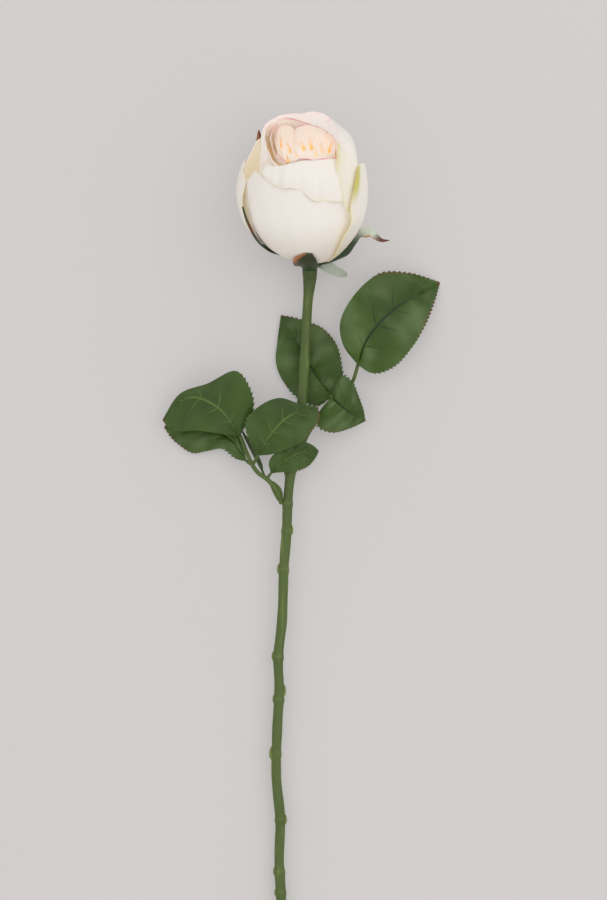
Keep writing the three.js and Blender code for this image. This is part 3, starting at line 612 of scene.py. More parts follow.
def sepal_finish(colours):
    """Moulded green sepals, pale on the inner face and red-brown at the tip."""
    finish = Finish("sepal_plastic", PLASTIC_ROUGHNESS)
    pale, red, warm = (finish.value(name) for name in ("pale", "red", "warm"))
    patches = finish.noise(finish.place(), 160)
    body = finish.mix(patches, shaded(colours.sepal, 0.7), shaded(colours.sepal, 1.5))
    body = finish.mix(pale, body, colours.sepal_pale)
    body = finish.mix(red, body, colours.sepal_tip)
    finish.feed("Base Color", finish.mix(warm, body, colours.sepal_warm))
    finish.bump(finish.noise(finish.place((1, 0.4, 1)), 900, 2), 0.00015, 0.5)
    return finish.material


def stem_finish(colours):
    """Moulded green with pale lengthwise streaks, yellower on the side buds, dark at the top."""
    finish = Finish("stem_plastic", PLASTIC_ROUGHNESS)
    bud = finish.value("bud")
    streaks = finish.noise(finish.place((1, 0.12, 1)), 420)
    blotches = finish.noise(finish.place((1, 0.5, 1)), 70)
    body = finish.mix(finish.step(streaks, 0.52, 0.75), colours.stem, colours.stem_streak)
    body = finish.mix(finish.step(blotches, 0.35, 0.8) * 0.6, body, shaded(colours.stem, 0.7))
    top = finish.step(finish.uv()[1], 0.955, 0.985)
    body = finish.mix(top * 0.7, body, shaded(colours.stem, 0.5))
    finish.feed("Base Color", finish.mix(bud, body, colours.bud))
    finish.bump(streaks * 0.7 + blotches * 0.3, 0.0003, 0.5)
    return finish.material


# What a petal has unless its own entry says otherwise. settle: shares of the height between which
# the level changes from foot to level. lobe: a swelling, as its height and its place and reach up
# the petal. rim: how far the upper edge leans out, from left to right. side: how far the left and
# the right edge lean out. edge: name of the edge's colour. band: how much of the width the left
# edge's colour takes. inside: name of the inner face's colour, painted in more strongly below the
# rim as warm shade. glow: how strongly that face lets light through. patch: strength of the green
# patch. shade: factors that darken the colour at the foot further, as painted shade.
PLAIN_PETAL = {
    "settle": (0, 0.45),
    "lobe": (0, 0.8, 0.1),
    "rim": [0, 0],
    "side": [0, 0],
    "edge": "yellow_edge",
    "band": 0.028,
    "inside": "petal_inside_shade",
    "glow": 1,
    "patch": 0,
    "shade": (1, 1, 1),
}
# Petals. left, right: azimuths of the side edges from base to tip. top: heights of the upper
# edge from left to right. foot: level at the base. level: at the left and the right edge. tint:
# how strong the edge colour is at the left, the right and the upper edge.
PETALS = {
    "petal_front": {
        "left": [-80, -80, -80, -78, -72, -64, -58, -55, -58, -66, -56],
        "right": [75, 78, 78, 74, 66, 60],
        "top": [54.5, 53, 52.5, 53, 52, 49, 46],
        "foot": 0.7,
        "level": [0, 0],
        "side": [0.3, 0],
        "tint": (0, 0, 0),
    },
    "petal_right": {
        "patch": 0.9,
        "left": [48, 48, 47, 44, 40.5, 39.5, 40.5, 46, 44.5, 50, 60],
        "right": [95, 92, 88, 90, 102, 112],
        "top": [54, 55, 53, 50, 46, 40],
        "foot": 1.4,
        "settle": (0.25, 0.75),
        "level": [3.3, 1.7],
        "lobe": (0.5, 0.88, 0.08),
        "rim": [0.4, 0.6, 0.6, 0.3],
        "side": [0.7, 0],
        "tint": (0.8, 0.5, 0.1),
        "band": 0.04,
        "shade": (0.84, 0.82, 0.7),
    },
    "petal_right_back": {
        "left": [85, 88, 92, 95, 96, 97],
        "right": [132, 138, 142, 143, 143, 140],
        "top": [37, 39, 39, 38, 36],
        "foot": 0.8,
        "level": [1.1, 1.1],
        "rim": [0.6, 0.6, 0.6, 0.6],
        "side": [0.3, 0],
        "tint": (0.8, 0, 0.5),
    },
    "petal_back": {
        "left": [122, 128, 131, 132, 133, 138],
        "right": [226, 230, 232, 231, 230, 222],
        "top": [46, 52, 54, 52, 46],
        "foot": 0.4,
        "level": [1.2, 1.2],
        "rim": [1.5, 1.5, 1.5, 1.5],
        "tint": (0.3, 0.3, 0.5),
    },
    "petal_left": {
        "left": [-132, -137, -140, -140, -140, -134],
        "right": [-66, -66, -66, -65, -64, -69],
        "top": [38, 45, 49, 49.5, 48, 46],
        "foot": -0.6,
        "settle": (0.25, 0.72),
        "level": [2.2, 1.8],
        "lobe": (1.3, 0.88, 0.09),
        "rim": [0.5, -0.5, -1.6, -1.8, -1.2],
        "tint": (0.3, 0.5, 0),
        "shade": (0.66, 0.64, 0.48),
    },
    "petal_right_wrap": {
        "inside": "petal_white",
        "glow": 1.7,
        "left": [57, 57, 57, 57, 57, 55, 50, 40, 37, 38, 48],
        "right": [100, 115, 125, 125, 122, 112],
        "top": [69, 62, 55, 50, 47, 45, 44],
        "foot": 0.9,
        "settle": (0.25, 0.7),
        "level": [2, 0.4],
        "rim": [0.3, 0.9, 0.9, 0.5],
        "side": [1.2, 0],
        "tint": (0.9, 0, 0),
        "band": 0.06,
    },
    "petal_inner_left": {
        "left": [-125, -130, -138, -142, -142, -138],
        "right": [-48, -46, -46, -48, -50, -54],
        "top": [57, 58.5, 57.5, 51.5, 46, 45, 46, 46, 45],
        "foot": -1.1,
        "level": [-0.6, -1.1],
        "rim": [0.2, 0.3, 0.4, 0],
        "tint": (0.2, 0, 0),
    },
    "petal_inner_right": {
        "inside": "petal_white",
        "glow": 1.7,
        "left": [56, 52, 49, 48, 48, 50],
        "right": [140, 148, 152, 150, 146, 142],
        "top": [64, 69, 74, 76, 75, 72.5, 69],
        "foot": -1.1,
        "level": [-1.1, -1.1],
        "lobe": (2.4, 0.83, 0.08),
        "tint": (0, 0, 0.45),
        "edge": "pink_edge",
    },
    "petal_inner_back": {
        "inside": "petal_white",
        "glow": 1.7,
        "left": [128, 126, 124, 122, 120, 118],
        "right": [228, 228, 228, 228, 229, 246],
        "top": [69.5, 70, 70.8, 71, 69, 68.3, 69.5, 70.6, 69.5],
        "foot": -2.2,
        "level": [-2.2, -1.1],
        "rim": [2, 3, 3, 0],
        "tint": (0, 0, 0.3),
        "edge": "pink_edge",
    },
}


def creases(u, v, seed, depth):
    """Soft lengthwise creases of a petal, in the unit of their depth."""
    bend = 0.2 * np.sin(4 * v + seed)
    wide = np.sin(2 * math.pi * (2.3 * u + bend) + 1.7 * seed)
    fine = 0.5 * np.sin(2 * math.pi * (6.1 * u - bend) + 2.9 * seed)
    return depth * (wide + fine) * smoothstep(v, 0.1, 0.6)


def petal_point(shape, u, v, seed, crease, wave):
    """Point of a whorled petal, with its creases and its wavy rim."""
    azimuth = lerp(along(shape["left"], v), along(shape["right"], v), u)
    latitude = lerp(FIRST_LATITUDE, latitude_of(along(shape["top"], u)), v)
    first, second = shape["side"]
    lean = along(shape["rim"], u) * v**8 + (first * (1 - u) ** 6 + second * u**6) * v**3
    rim = wave * np.sin(2 * math.pi * 2.6 * u + 2 * seed) * v**14
    settling = smoothstep(v, *shape["settle"])
    settled = lerp(shape["foot"], lerp(*shape["level"], u), settling)
    height, place, reach = shape["lobe"]
    lobe = height * np.exp(-(((v - place) / reach) ** 2))
    level = settled + lobe + lean + rim + creases(u, v, seed, crease)
    return from_head(on_head(azimuth, latitude, level))


PETAL_GRID = (56, 64)


class ROSE_OT_petals(bpy.types.Operator):
    """Model the nine outer petals"""

    bl_idname = "rose.petals"
    bl_label = "Outer petals"

    def execute(self, context):
        sizes, colours = context.scene.rose_sizes, context.scene.rose_colours
        crease, wave = sizes.crease / MM, sizes.wave / MM
        for seed, (node, given) in enumerate(PETALS.items()):
            shape = {**PLAIN_PETAL, **given}
            piece = sheet(
                "fabric_" + node,
                PETAL_GRID,
                sizes.petal,
                lambda u, v: petal_point(shape, u, v, seed, crease, wave),
            )
            finish_piece(piece, petal_finish(piece.name, colours, shape), node)
        return {"FINISHED"}


# The folded front petal rises inside its neighbour, turns over and hangs down outside it.
FOLD_LEFT = -42
FOLD_RIGHT = 42
FOLD_INSIDE = -1.1
FOLD_OUTSIDE = 1.1
FOLD_HEIGHTS = [57, 58, 60, 61.5, 61.5, 61, 60]
HEM_HEIGHTS = [55, 52, 50.5, 51, 49.5, 45, 43.5, 42.3, 41.3]
FOLD_TURN = 0.5
FOLD_BULGE = 1.2
FOLD_CREST = 3
FLAP_BELLY = 0.8
BELLY_SHARE = 0.45
FOLD_GRID = (56, 96)
FOLDED_LOOK = {**PLAIN_PETAL, "tint": (0, 0, 0.5), "inside": "petal", "glow": 0}


def folded_point(u, v, crease):
    """Point of the folded petal: up to the fold, over the crest and down to the hem."""
    azimuth = lerp(FOLD_LEFT, FOLD_RIGHT, u)
    fold = latitude_of(along(FOLD_HEIGHTS, u))
    hem = latitude_of(along(HEM_HEIGHTS, u))
    share = np.clip((v - FOLD_TURN) / (1 - FOLD_TURN), 0, 1)
    stops = [
        leveled(fold, FOLD_INSIDE),
        leveled(fold + FOLD_CREST, FOLD_INSIDE + FOLD_BULGE),
        leveled(lerp(fold, hem, BELLY_SHARE), FOLD_OUTSIDE + FLAP_BELLY),
        leveled(hem, FOLD_OUTSIDE),
    ]
    radius, height = (along([stop[k] for stop in stops], share) for k in range(2))
    inside = leveled(lerp(FIRST_LATITUDE, fold, np.minimum(v / FOLD_TURN, 1)), FOLD_INSIDE)
    before = v < FOLD_TURN
    radius = np.where(before, inside[0], radius)
    height = np.where(before, inside[1], height)
    drape = 0.45 * np.sin(2 * math.pi * 3.4 * u + 0.6) + 0.25 * np.sin(2 * math.pi * 7.7 * u)
    radius = radius + smoothstep(share, 0.1, 1) * drape + creases(u, v, 3, crease)
    return from_head(turned(azimuth, radius, height))


class ROSE_OT_folded_petal(bpy.types.Operator):
    """Model the front petal whose upper part is folded outward"""

    bl_idname = "rose.folded_petal"
    bl_label = "Folded petal"

    def execute(self, context):
        sizes, colours = context.scene.rose_sizes, context.scene.rose_colours
        piece = sheet(
            "fabric_petal_folded",
            FOLD_GRID,
            sizes.petal,
            lambda u, v: folded_point(u, v, sizes.crease / MM),
        )
        finish = petal_finish(piece.name, colours, FOLDED_LOOK)
        finish_piece(piece, finish, "petal_front_folded")
        return {"FINISHED"}


# Petals of the heart that hang from a rim, given as [x, y, height] in the head's own axes from
# left to right: the rim, how deep the petal reaches, and how pink its rim is along its length.
HEART_STRIPS = {
    "back": (
        [
            [-18, 7, 64], [-16.8, 11.4, 66.6], [-13.6, 14.3, 69], [-9.2, 14.8, 70.8],
            [-5.1, 14, 71], [-0.9, 12.3, 70.3], [4.8, 11.1, 69], [10, 9.8, 67.3],
            [13.9, 7.9, 65.6], [16.2, 4.2, 63],
        ],
        12,
        [0, 0, 0.3, 1, 0.5, 0.6, 0.3, 0],
    ),
    "left_first": (
        [
            [-15, 16, 68], [-17.8, 11.8, 67], [-19.1, 6.8, 65.8], [-19.1, 0.1, 64.8],
            [-17.9, -8.3, 64], [-16.1, -16.2, 63], [-13.4, -22.6, 61.5], [-10.6, -24, 60],
        ],
        11,
        [0, 0.2, 0, 0, 0.3, 0],
    ),
    "left_second": (
        [
            [-12.9, 13.4, 68], [-15.3, 9.7, 66.8], [-16.1, 2.6, 65.4], [-15.3, -5.8, 64.6],
            [-13.8, -13.6, 63.8], [-11.2, -18.9, 62.8], [-8.1, -21.7, 61.8],
        ],
        11,
        [0.6, 0.9, 0.2, 0.2, 0.6, 0.9, 0.4],
    ),
    "left_third": (
        [
            [-10.8, 11.5, 68], [-12.9, 8.2, 66.9], [-13.6, 0.8, 65.6], [-12.8, -8.6, 64.7],
            [-10.9, -16.3, 63.6], [-8.1, -20.7, 62.2],
        ],
        9,
        [0.5, 0.8, 0.2, 0, 0.2, 0.3],
    ),
    "front": (
        [
            [-10.6, -23.6, 60], [-7.6, -23.8, 61.8], [-4, -22.8, 63], [-0.4, -22.1, 64.3],
            [3.2, -22.2, 64], [5.8, -22.8, 63.6], [8.3, -22.5, 63.9], [11.4, -21.9, 64.2],
            [14.5, -19.9, 63.2], [17.6, -16.8, 62.7], [19.7, -12.4, 61.5],
        ],
        11,
        [0, 0.1, 0.3, 1, 1, 1, 1, 0.8, 1, 0.9],
    ),
}
# Gathered petals between the strips: front edge, rim, the slits between their folds, and how
# pink the rim is. A slit runs from its closed upper end to its wide lower end, each as its place
# across and up the petal, and has a depth and a half width in millimetres.
GATHERS = {
    "left": (
        [[-12.2, -16.7, 61], [-9.1, -19.4, 61], [-6, -19.4, 61], [-2.4, -18, 61]],
        [
            [-13.6, 4.3, 63.5], [-12.8, 9.1, 66.2], [-10.8, 11.3, 67.6], [-7.7, 11.3, 68],
            [-4.5, 8.7, 67.5], [-2.5, 4.7, 65.6],
        ],
        [
            (0.36, 0.8, 0.32, 0.38, 2.2, 1), (0.5, 0.5, 0.69, 0.22, 2.4, 1.1),
            (0.24, 0.36, 0.31, 0.06, 1.6, 0.8), (0.48, 0.2, 0.57, 0.0, 2.2, 1),
        ],
        [0.2, 0.3, 0.1, 0, 0],
    ),
    "right": (
        [[9.9, -15.8, 60.6], [13, -15.2, 60.6], [16.1, -13, 60.2], [18.7, -9, 59.8]],
        [[11.8, 7, 66], [14.1, 4.6, 66.5], [16.2, 1.7, 65.8], [17.9, -1.7, 64.2], [18.7, -6.3, 62]],
        [(0.5, 0.92, 0.32, 0.23, 2.4, 1.1), (0.7, 0.5, 0.78, 0.02, 2, 0.9)],
        [0.2, 0.8, 0.5, 0.2, 0],
    ),
    "middle": (
        [[-5.5, -19.1, 61.5], [1.2, -18.5, 61.5], [8.3, -18, 61.5], [13, -16.7, 61]],
        [
            [-4.5, 3.5, 65], [-3.9, 6, 67.3], [-1.7, 7.4, 69.2], [1.2, 7.8, 70], [4.3, 7.6, 69.8],
            [7.9, 6.8, 69], [11.5, 5.4, 68], [13.2, 4, 66], [13.3, 1.5, 63.6],
        ],
        [
            (0.23, 0.52, 0.37, 0.25, 2.4, 1.1), (0.42, 0.64, 0.555, 0.27, 2.4, 1.2),
            (0.7, 0.5, 0.87, 0.19, 2.6, 1.2), (0.1, 0.3, 0.16, 0.1, 1.2, 0.6),
            (0.62, 0.3, 0.68, 0.1, 1, 0.7),
        ],
        [0.9, 1, 1, 0.6, 0.3, 0.4, 0.1, 0],
    ),
}
STRIP_GRID = (100, 24)
GATHER_GRID = (110, 90)
GATHER_ARCH = 2.2
GATHER_HEIGHT = 26
ARCH_WAY = np.array([0, -0.5, 0.85])
SINK_WAY = np.array([0, 0.75, -0.66])
SLIT_SLOPE = 2.2
SLIT_WIDTH = 1.5
SLIT_DEPTH = 0.75
RIDGE = 0.5


def strip_point(rim, depth, u, v):
    """Point of a petal that hangs from its rim towards the middle of the head."""
    top = rim.at(u)
    outward = unit(top * [1, 1, 0])
    drop = (depth * (1 - v))[:, None]
    belly = (1.1 * np.sin(math.pi * v))[:, None]
    wave = (0.25 * np.sin(2 * math.pi * 4.3 * u + depth) * v**3)[:, None]
    return from_head(top + outward * (belly + wave - 0.4 * drop) - drop * [0, 0, 1])


def slit_shares(slits, width, height, u, v):
    """Depth of the slits in millimetres, and their share of shade, on a petal of a given size."""
    depth, shade, ridge = 0 * u, 0 * u, 0 * u
    for top_u, top_v, low_u, low_v, deep, half in slits:
        line = np.array([(low_u - top_u) * width, (low_v - top_v) * height])
        length = np.linalg.norm(line)
        ahead = line / length
        across, up = (u - top_u) * width, (v - top_v) * height
        share = (across * ahead[0] + up * ahead[1]) / length
        aside = np.abs(up * ahead[0] - across * ahead[1])
        open_half = SLIT_WIDTH * half * np.clip(0.25 + 0.75 * share, 0.2, 1)
        walls = np.exp(-((aside / open_half) ** SLIT_SLOPE))
        sunk = smoothstep(share, -0.15, 0.6) * (1 - smoothstep(share, 0.92, 1.12))
        dark = smoothstep(share, 0.1, 0.9) * (1 - smoothstep(share, 1, 1.15))
        raised = smoothstep(share, -0.2, 0.3) * (1 - smoothstep(share, 0.9, 1.3))
        beside = np.exp(-(((aside - open_half - 0.5) / 0.5) ** 2))
        depth = np.maximum(depth, SLIT_DEPTH * deep * sunk * walls)
        shade = np.maximum(shade, dark * walls)
        ridge = np.maximum(ridge, raised * beside)
    return depth - RIDGE * ridge * (1 - shade), shade


def gather_point(bottom, rim, slits, u, v):
    """Point of a gathered petal, arched between its front edge and its rim."""
    low, top = bottom.at(u), rim.at(u)
    arch = (GATHER_ARCH * 4 * v * (1 - v))[:, None]
    sunk = slit_shares(slits, rim.length, GATHER_HEIGHT, u, v)[0][:, None]
    turn = 2 * math.pi * u
    pleats = 0.3 * np.sin(5 * turn + 3 * v) + 0.2 * np.sin(11 * turn - 5 * v)
    puff = (pleats * smoothstep(v, 0.02, 0.3) * (1 - v))[:, None]
    return from_head(lerp(low, top, v[:, None]) + ARCH_WAY * (arch + puff) + SINK_WAY * sunk)


# Core that carries the heart: [radius, height] from its foot to its top.
CORE = [[0, 9], [4.4, 9], [14, 12], [21, 22], [24.6, 35], [22, 48], [16, 54], [8, 56.5], [0, 57]]
CORE_GRID = (32, 32)


def lathe_point(outline, shift, u, v):
    """Point of an outline turned round the head's axis."""
    share = np.linspace(0, 1, len(outline))
    radius, height = (np.interp(v, share, [p[k] for p in outline]) for k in range(2))
    turn = 2 * math.pi * u
    return from_head(np.stack([shift + radius * np.cos(turn), radius * np.sin(turn), height], -1))


class ROSE_OT_heart(bpy.types.Operator):
    """Model the small petals and gathers of the heart"""

    bl_idname = "rose.heart"
    bl_label = "Heart"

    def execute(self, context):
        sizes, colours = context.scene.rose_sizes, context.scene.rose_colours
        pieces = []
        for rim_points, depth, pinks in HEART_STRIPS.values():
            rim = Path(rim_points)
            marks = {
                # depth: painted shade, growing towards the lower end of the strip.
                "depth": lambda u, v: 0.45 * smoothstep(1 - v, 0.3, 1),
                "pink": lambda u, v: along(pinks, u) * smoothstep(v, 0.9, 0.99),
                "peach": lambda u, v: 0 * u + 0.3,
            }
            pieces.append(
                sheet(
                    "strip",
                    STRIP_GRID,
                    sizes.petal,
                    lambda u, v: strip_point(rim, depth, u, v),
                    marks,
                )
            )
        for bottom_points, rim_points, slits, pinks in GATHERS.values():
            bottom, rim = Path(bottom_points), Path(rim_points)
            marks = {
                # depth: painted shade, dark inside the slits.
                "depth": lambda u, v: slit_shares(slits, rim.length, GATHER_HEIGHT, u, v)[1],
                "pink": lambda u, v: along(pinks, u) * smoothstep(v, 0.93, 0.99),
                "peach": lambda u, v: 0.55 + 0.45 * smoothstep(v, 0.1, 0.6),
            }
            pieces.append(
                sheet(
                    "gather",
                    GATHER_GRID,
                    sizes.petal,
                    lambda u, v: gather_point(bottom, rim, slits, u, v),
                    marks,
                )
            )
        marks = {mark: zero for mark in ("depth", "pink", "peach")}
        core = surface("core", CORE_GRID, lambda u, v: lathe_point(CORE, 0, u, v), marks)
        edit(core, merge_seams)
        heart = join("fabric_heart", [*pieces, core])
        finish_piece(heart, heart_finish(colours), "heart_petals")
        return {"FINISHED"}


# Cup under the petals: [radius, height] from its neck to its inner edge.
CUP = [
    [0, -8], [4, -8], [4.1, -7.6], [4.9, -6.8], [5.9, -6.1], [6.8, -5.4], [7.5, -4.7], [7.8, -4.2],
    [7.8, -3.5], [7.5, -3.2], [4.4, -3.2], [4.4, 5.5], [4, 7.4], [3, 8], [0, 8],
]
CUP_GRID = (48, 4 * (len(CUP) - 1))


def sepal_line(start, *stops):
    """Middle line of a sepal, from inside the cup over the head."""
    return [turned(start, 4.5, -4.4), *(on_head(*stop) for stop in stops)]


# What a sepal has unless its own entry says otherwise. faces: how far its face turns up from the
# table. pale, red, warm: strength of these colours. Each is given along the sepal's length. The
# warm colour shows on the edge that is farther from warm_from, a place across the sepal.
PLAIN_SEPAL = {"faces": [0, 0], "pale": [0, 0], "red": [0, 0], "warm": [0, 0], "warm_from": 0}
SEPAL_GRID = (16, 70)
# Sepals: middle line, and widths along it.
SEPALS = {
    "front": {
        "line": sepal_line(-6, (-8, 16, 1.9), (-8, 30, 1.6), (-2, 45, 1.3), (5, 57, 1)),
        "widths": [9, 12, 12.5, 12.5, 11, 4],
        "red": [0.12, 0.12],
        "warm": [0, 0, 0.2, 0.8, 0.5],
    },
    "left": {
        "line": sepal_line(
            -95, (-95, 17, 1.6), (-86, 32, 1.5), (-73, 45, 1.7), (-60, 57, 1.9), (-56, 68, 2.2),
            (-56, 78, 2.4), (-59, 86, 2.5), (-64, 93, 2.6),
        ),
        "widths": [5, 5.5, 6, 6.4, 5.6, 4, 2.4, 1.6, 0.6],
        "red": [0, 0, 0, 0, 0, 0, 0, 0.1, 0.9, 0.1, 0],
        "warm": [0, 0, 0, 0, 0.5, 0.6, 0, 0],
    },
    "right": {
        "line": [
            *sepal_line(
                62, (64, 20, 2.3), (66, 31, 2.6), (69, 41, 3), (73, 49, 3.2), (78, 56, 3.2),
                (80, 62, 3.4),
            ),
            turned(77, 36, 16), turned(76, 38.6, 14), turned(77, 41.4, 12), turned(79, 45, 11.6),
        ],
        "widths": [6, 7, 8, 7.6, 6.2, 4.8, 3.8, 5.4, 4, 2.2, 0.5],
        "faces": [0.1, 0.2, 0.3, 0.4, 0.4, 0.6, 1, 1, 0.8],
        "pale": [0, 0, 0, 0, 0, 0, 0.3, 1, 1, 0.1, 0],
        "red": [0, 0, 0, 0, 0, 0, 0, 0, 0, 0.8, 0.8],
        "warm": [0, 0, 0, 0, 0, 0, 0, 0.9, 0.8, 0, 0],
        "warm_from": 1,
    },
    "lower_right": {
        "line": [
            turned(96, 4.5, -5.6), turned(92, 8.4, -7), turned(90, 12.4, -9.6),
            turned(90, 16.2, -11.4), turned(90, 19.6, -12.6),
        ],
        "widths": [4.6, 5.6, 6, 5.6, 5, 4.4, 1.6],
        "faces": [0.9, 1, 1],
        "pale": [0.25, 0.6, 0.68, 0.68, 0.64, 0.5],
    },
    "back_left": {
        "line": sepal_line(
            -135, (-138, 16, 2), (-141, 36, 3), (-143, 62, 4), (-143, 90, 4.3), (-142, 108, 4.8),
            (-136.5, 121, 5.7),
        ),
        "widths": [6, 8, 10, 10, 9, 8, 6, 5, 0.6],
        "faces": [0, 0, 0, 0, 0, 0.2, 0.6, 0.8],
        "red": [0, 0, 0, 0, 0, 0.2, 0.7, 0.6],
        "warm": [0, 0, 0, 0, 0, 0, 0.5, 0.6],
        "warm_from": -0.4,
    },
}


def sepal_point(shape, path, u, v):
    """Point of a sepal, keeled along its middle."""
    point = path.at(v)
    outward = unit(point - np.array([SWAY / 2, 0, HEAD_MIDDLE]))
    up = math.radians(90 - HEAD_TILT)
    table_up = np.array([0, -math.sin(up), math.cos(up)])
    face = unit(lerp(outward, table_up, along(shape["faces"], v)[:, None]))
    across = unit(np.cross(path.direction(v), face))
    half = along(shape["widths"], v) / 2
    side = 1 - 2 * u
    keel = 0.3 * np.cos(math.pi * side) * (1 - v)
    offset = (half * side)[:, None] * across + keel[:, None] * face
    return from_head(point + offset)


class ROSE_OT_calyx(bpy.types.Operator):
    """Model the cup under the petals and its five sepals"""

    bl_idname = "rose.calyx"
    bl_label = "Calyx"

    def execute(self, context):
        sizes, colours = context.scene.rose_sizes, context.scene.rose_colours
        marks = {mark: zero for mark in ("pale", "red", "warm")}
        cup = surface("cup", CUP_GRID, lambda u, v: lathe_point(CUP, SWAY, u, v), marks)
        edit(cup, merge_seams)
        pieces = [cup]
        for given in SEPALS.values():
            shape = {**PLAIN_SEPAL, **given}
            path = Path(shape["line"])
            marks = {
                "pale": lambda u, v: np.clip(along(shape["pale"], v), 0, 1),
                "red": lambda u, v: np.clip(along(shape["red"], v), 0, 1),
                "warm": lambda u, v: np.clip(along(shape["warm"], v), 0, 1)
                * smoothstep(np.abs(u - shape["warm_from"]), 0.72, 0.97),
            }
            pieces.append(
                sheet(
                    "sepal",
                    SEPAL_GRID,
                    sizes.sepal,
                    lambda u, v: sepal_point(shape, path, u, v),
                    marks,
                )
            )
        calyx = join("moulded_calyx", pieces)
        finish_piece(calyx, sepal_finish(colours), "calyx")
        return {"FINISHED"}


# Stem: middle line from the cut end to the neck, in [x, y]; its height follows from the slope.
STEM_LINE = [
    [-8, 0], [-9, 45], [-10, 91], [-11, 112], [-10.5, 133.5], [-12.5, 156], [-12, 182],
    [-11, 201.5], [-11.5, 219], [-9.5, 238.5], [-8.5, 266], [-7, 286.5], [-6.5, 301],
    [-5, 315.5], [-2, 334], [1, 353.5], [2.5, 376], [3.8, 402],
]
STEM_RADIUS = 2.6
STEM_RISE = 7.6
RISE_LENGTH = 400
NECK_HEIGHT = -8.3
NECK_RADIUS = 4
NECK_LENGTH = 16
RING_HEIGHT = 0.4
STEM_GRID = (28, 420)
BUD_GRID = (14, 14)
BUD_PALENESS = 0.75
# Rings of the stem: distance from the cut end.
NODES = [94.5, 105.5, 133, 168, 196.5, 219, 265, 285.5, 300, 318]
# Small side buds: distance from the cut end, side, and size.
BUDS = [
    (40, 1, 1.7), (66, -1, 1.8), (94.5, -1, 1.4), (105.5, -1, 1.5), (133, 1, 1.7), (168, -1, 2.1),
    (196.5, -1, 1.4), (201, 1, 1.8), (219, -1, 1.6), (265, -1, 1.8), (285.5, 1, 1.6),
    (315.5, -1, 1.4),
]


def stem_path():
    """Middle line of the stem, from the cut end to the neck."""
    line = [[x, y, STEM_RADIUS + STEM_RISE * y / RISE_LENGTH] for x, y in STEM_LINE]
    neck = [from_head(turned(0, 0, np.array(NECK_HEIGHT - below))) for below in (6, 3, 0)]
    return Path([*line, *neck])


def tube_point(path, radius, u, v):
    """Point of a round tube along a path, with a radius for each share of its length."""
    direction = path.direction(v)
    right = unit(np.cross(direction, [0, 0, 1]))
    up = np.cross(right, direction)
    turn = (2 * math.pi * u)[:, None]
    return path.at(v) + radius[:, None] * (right * np.cos(turn) + up * np.sin(turn))


def close_ends():
    """Closes both ends of the selected tube."""
    bpy.ops.mesh.remove_doubles(threshold=1e-6)
    bpy.ops.mesh.select_all(action="DESELECT")
    bpy.ops.mesh.select_non_manifold()
    bpy.ops.mesh.edge_face_add()
    bpy.ops.mesh.select_all(action="SELECT")
    bpy.ops.mesh.normals_make_consistent(inside=False)


def tube(name, grid, path, radius, pale):
    """Closed tube along a path; radius and pale are functions of the distance along it."""
    piece = surface(
        name,
        grid,
        lambda u, v: tube_point(path, radius(v * path.length), u, v),
        {"bud": lambda u, v: pale(v * path.length)},
    )
    edit(piece, close_ends)
    return piece


def nowhere(distance):
    """A tube's paleness of 0 all along."""
    return 0 * distance


def stem_radius(distance, length):
    """Radius of the stem, with its rings and its flare under the cup."""
    flare = (NECK_RADIUS - STEM_RADIUS) * smoothstep(distance, length - NECK_LENGTH, length)
    swell = RING_HEIGHT * rings(distance, 1.5)
    uneven = 0.07 * np.sin(distance / 3.1) + 0.06 * np.sin(distance / 7.3 + 1)
    return STEM_RADIUS + flare + swell + uneven


def rings(distance, reach):
    """1 at each ring of the stem, falling to 0 beside it."""
    return np.max([np.exp(-(((distance - node) / reach) ** 2)) for node in NODES], axis=0)


def side_bud(path, at, side, size):
    """Pointed scale that hugs the stem."""
    share = np.interp(at, path.samples[:, 1], path.distances / path.length)
    x, y, z = path.at(np.array(share))
    line = [
        [x + side * 1.4, y - 1.6 * size, z + 0.2], [x + side * 2.5, y - 0.4 * size, z + 0.4],
        [x + side * 2.9, y + 0.9 * size, z + 0.4], [x + side * 2.7, y + 2 * size, z + 0.3],
    ]
    bud = Path(line)

    def radius(distance):
        part = distance / bud.length
        swell = np.sqrt(np.clip(np.sin(math.pi * (0.08 + 0.86 * part)), 0, 1))
        return size * 0.75 * swell * (1.15 - part)

    return tube("side_bud", BUD_GRID, bud, radius, lambda d: BUD_PALENESS + 0 * d)


class ROSE_OT_stem(bpy.types.Operator):
    """Model the long stem with its rings and side buds"""

    bl_idname = "rose.stem"
    bl_label = "Stem"

    def execute(self, context):
        colours = context.scene.rose_colours
        path = stem_path()
        rod = tube(
            "stem_rod",
            STEM_GRID,
            path,
            lambda d: stem_radius(d, path.length),
            lambda d: 0.25 * rings(d - 0.8, 0.6),
        )
        stem = join("moulded_stem", [rod, *(side_bud(path, *bud) for bud in BUDS)])
        finish_piece(stem, stem_finish(colours), "stem")
        return {"FINISHED"}


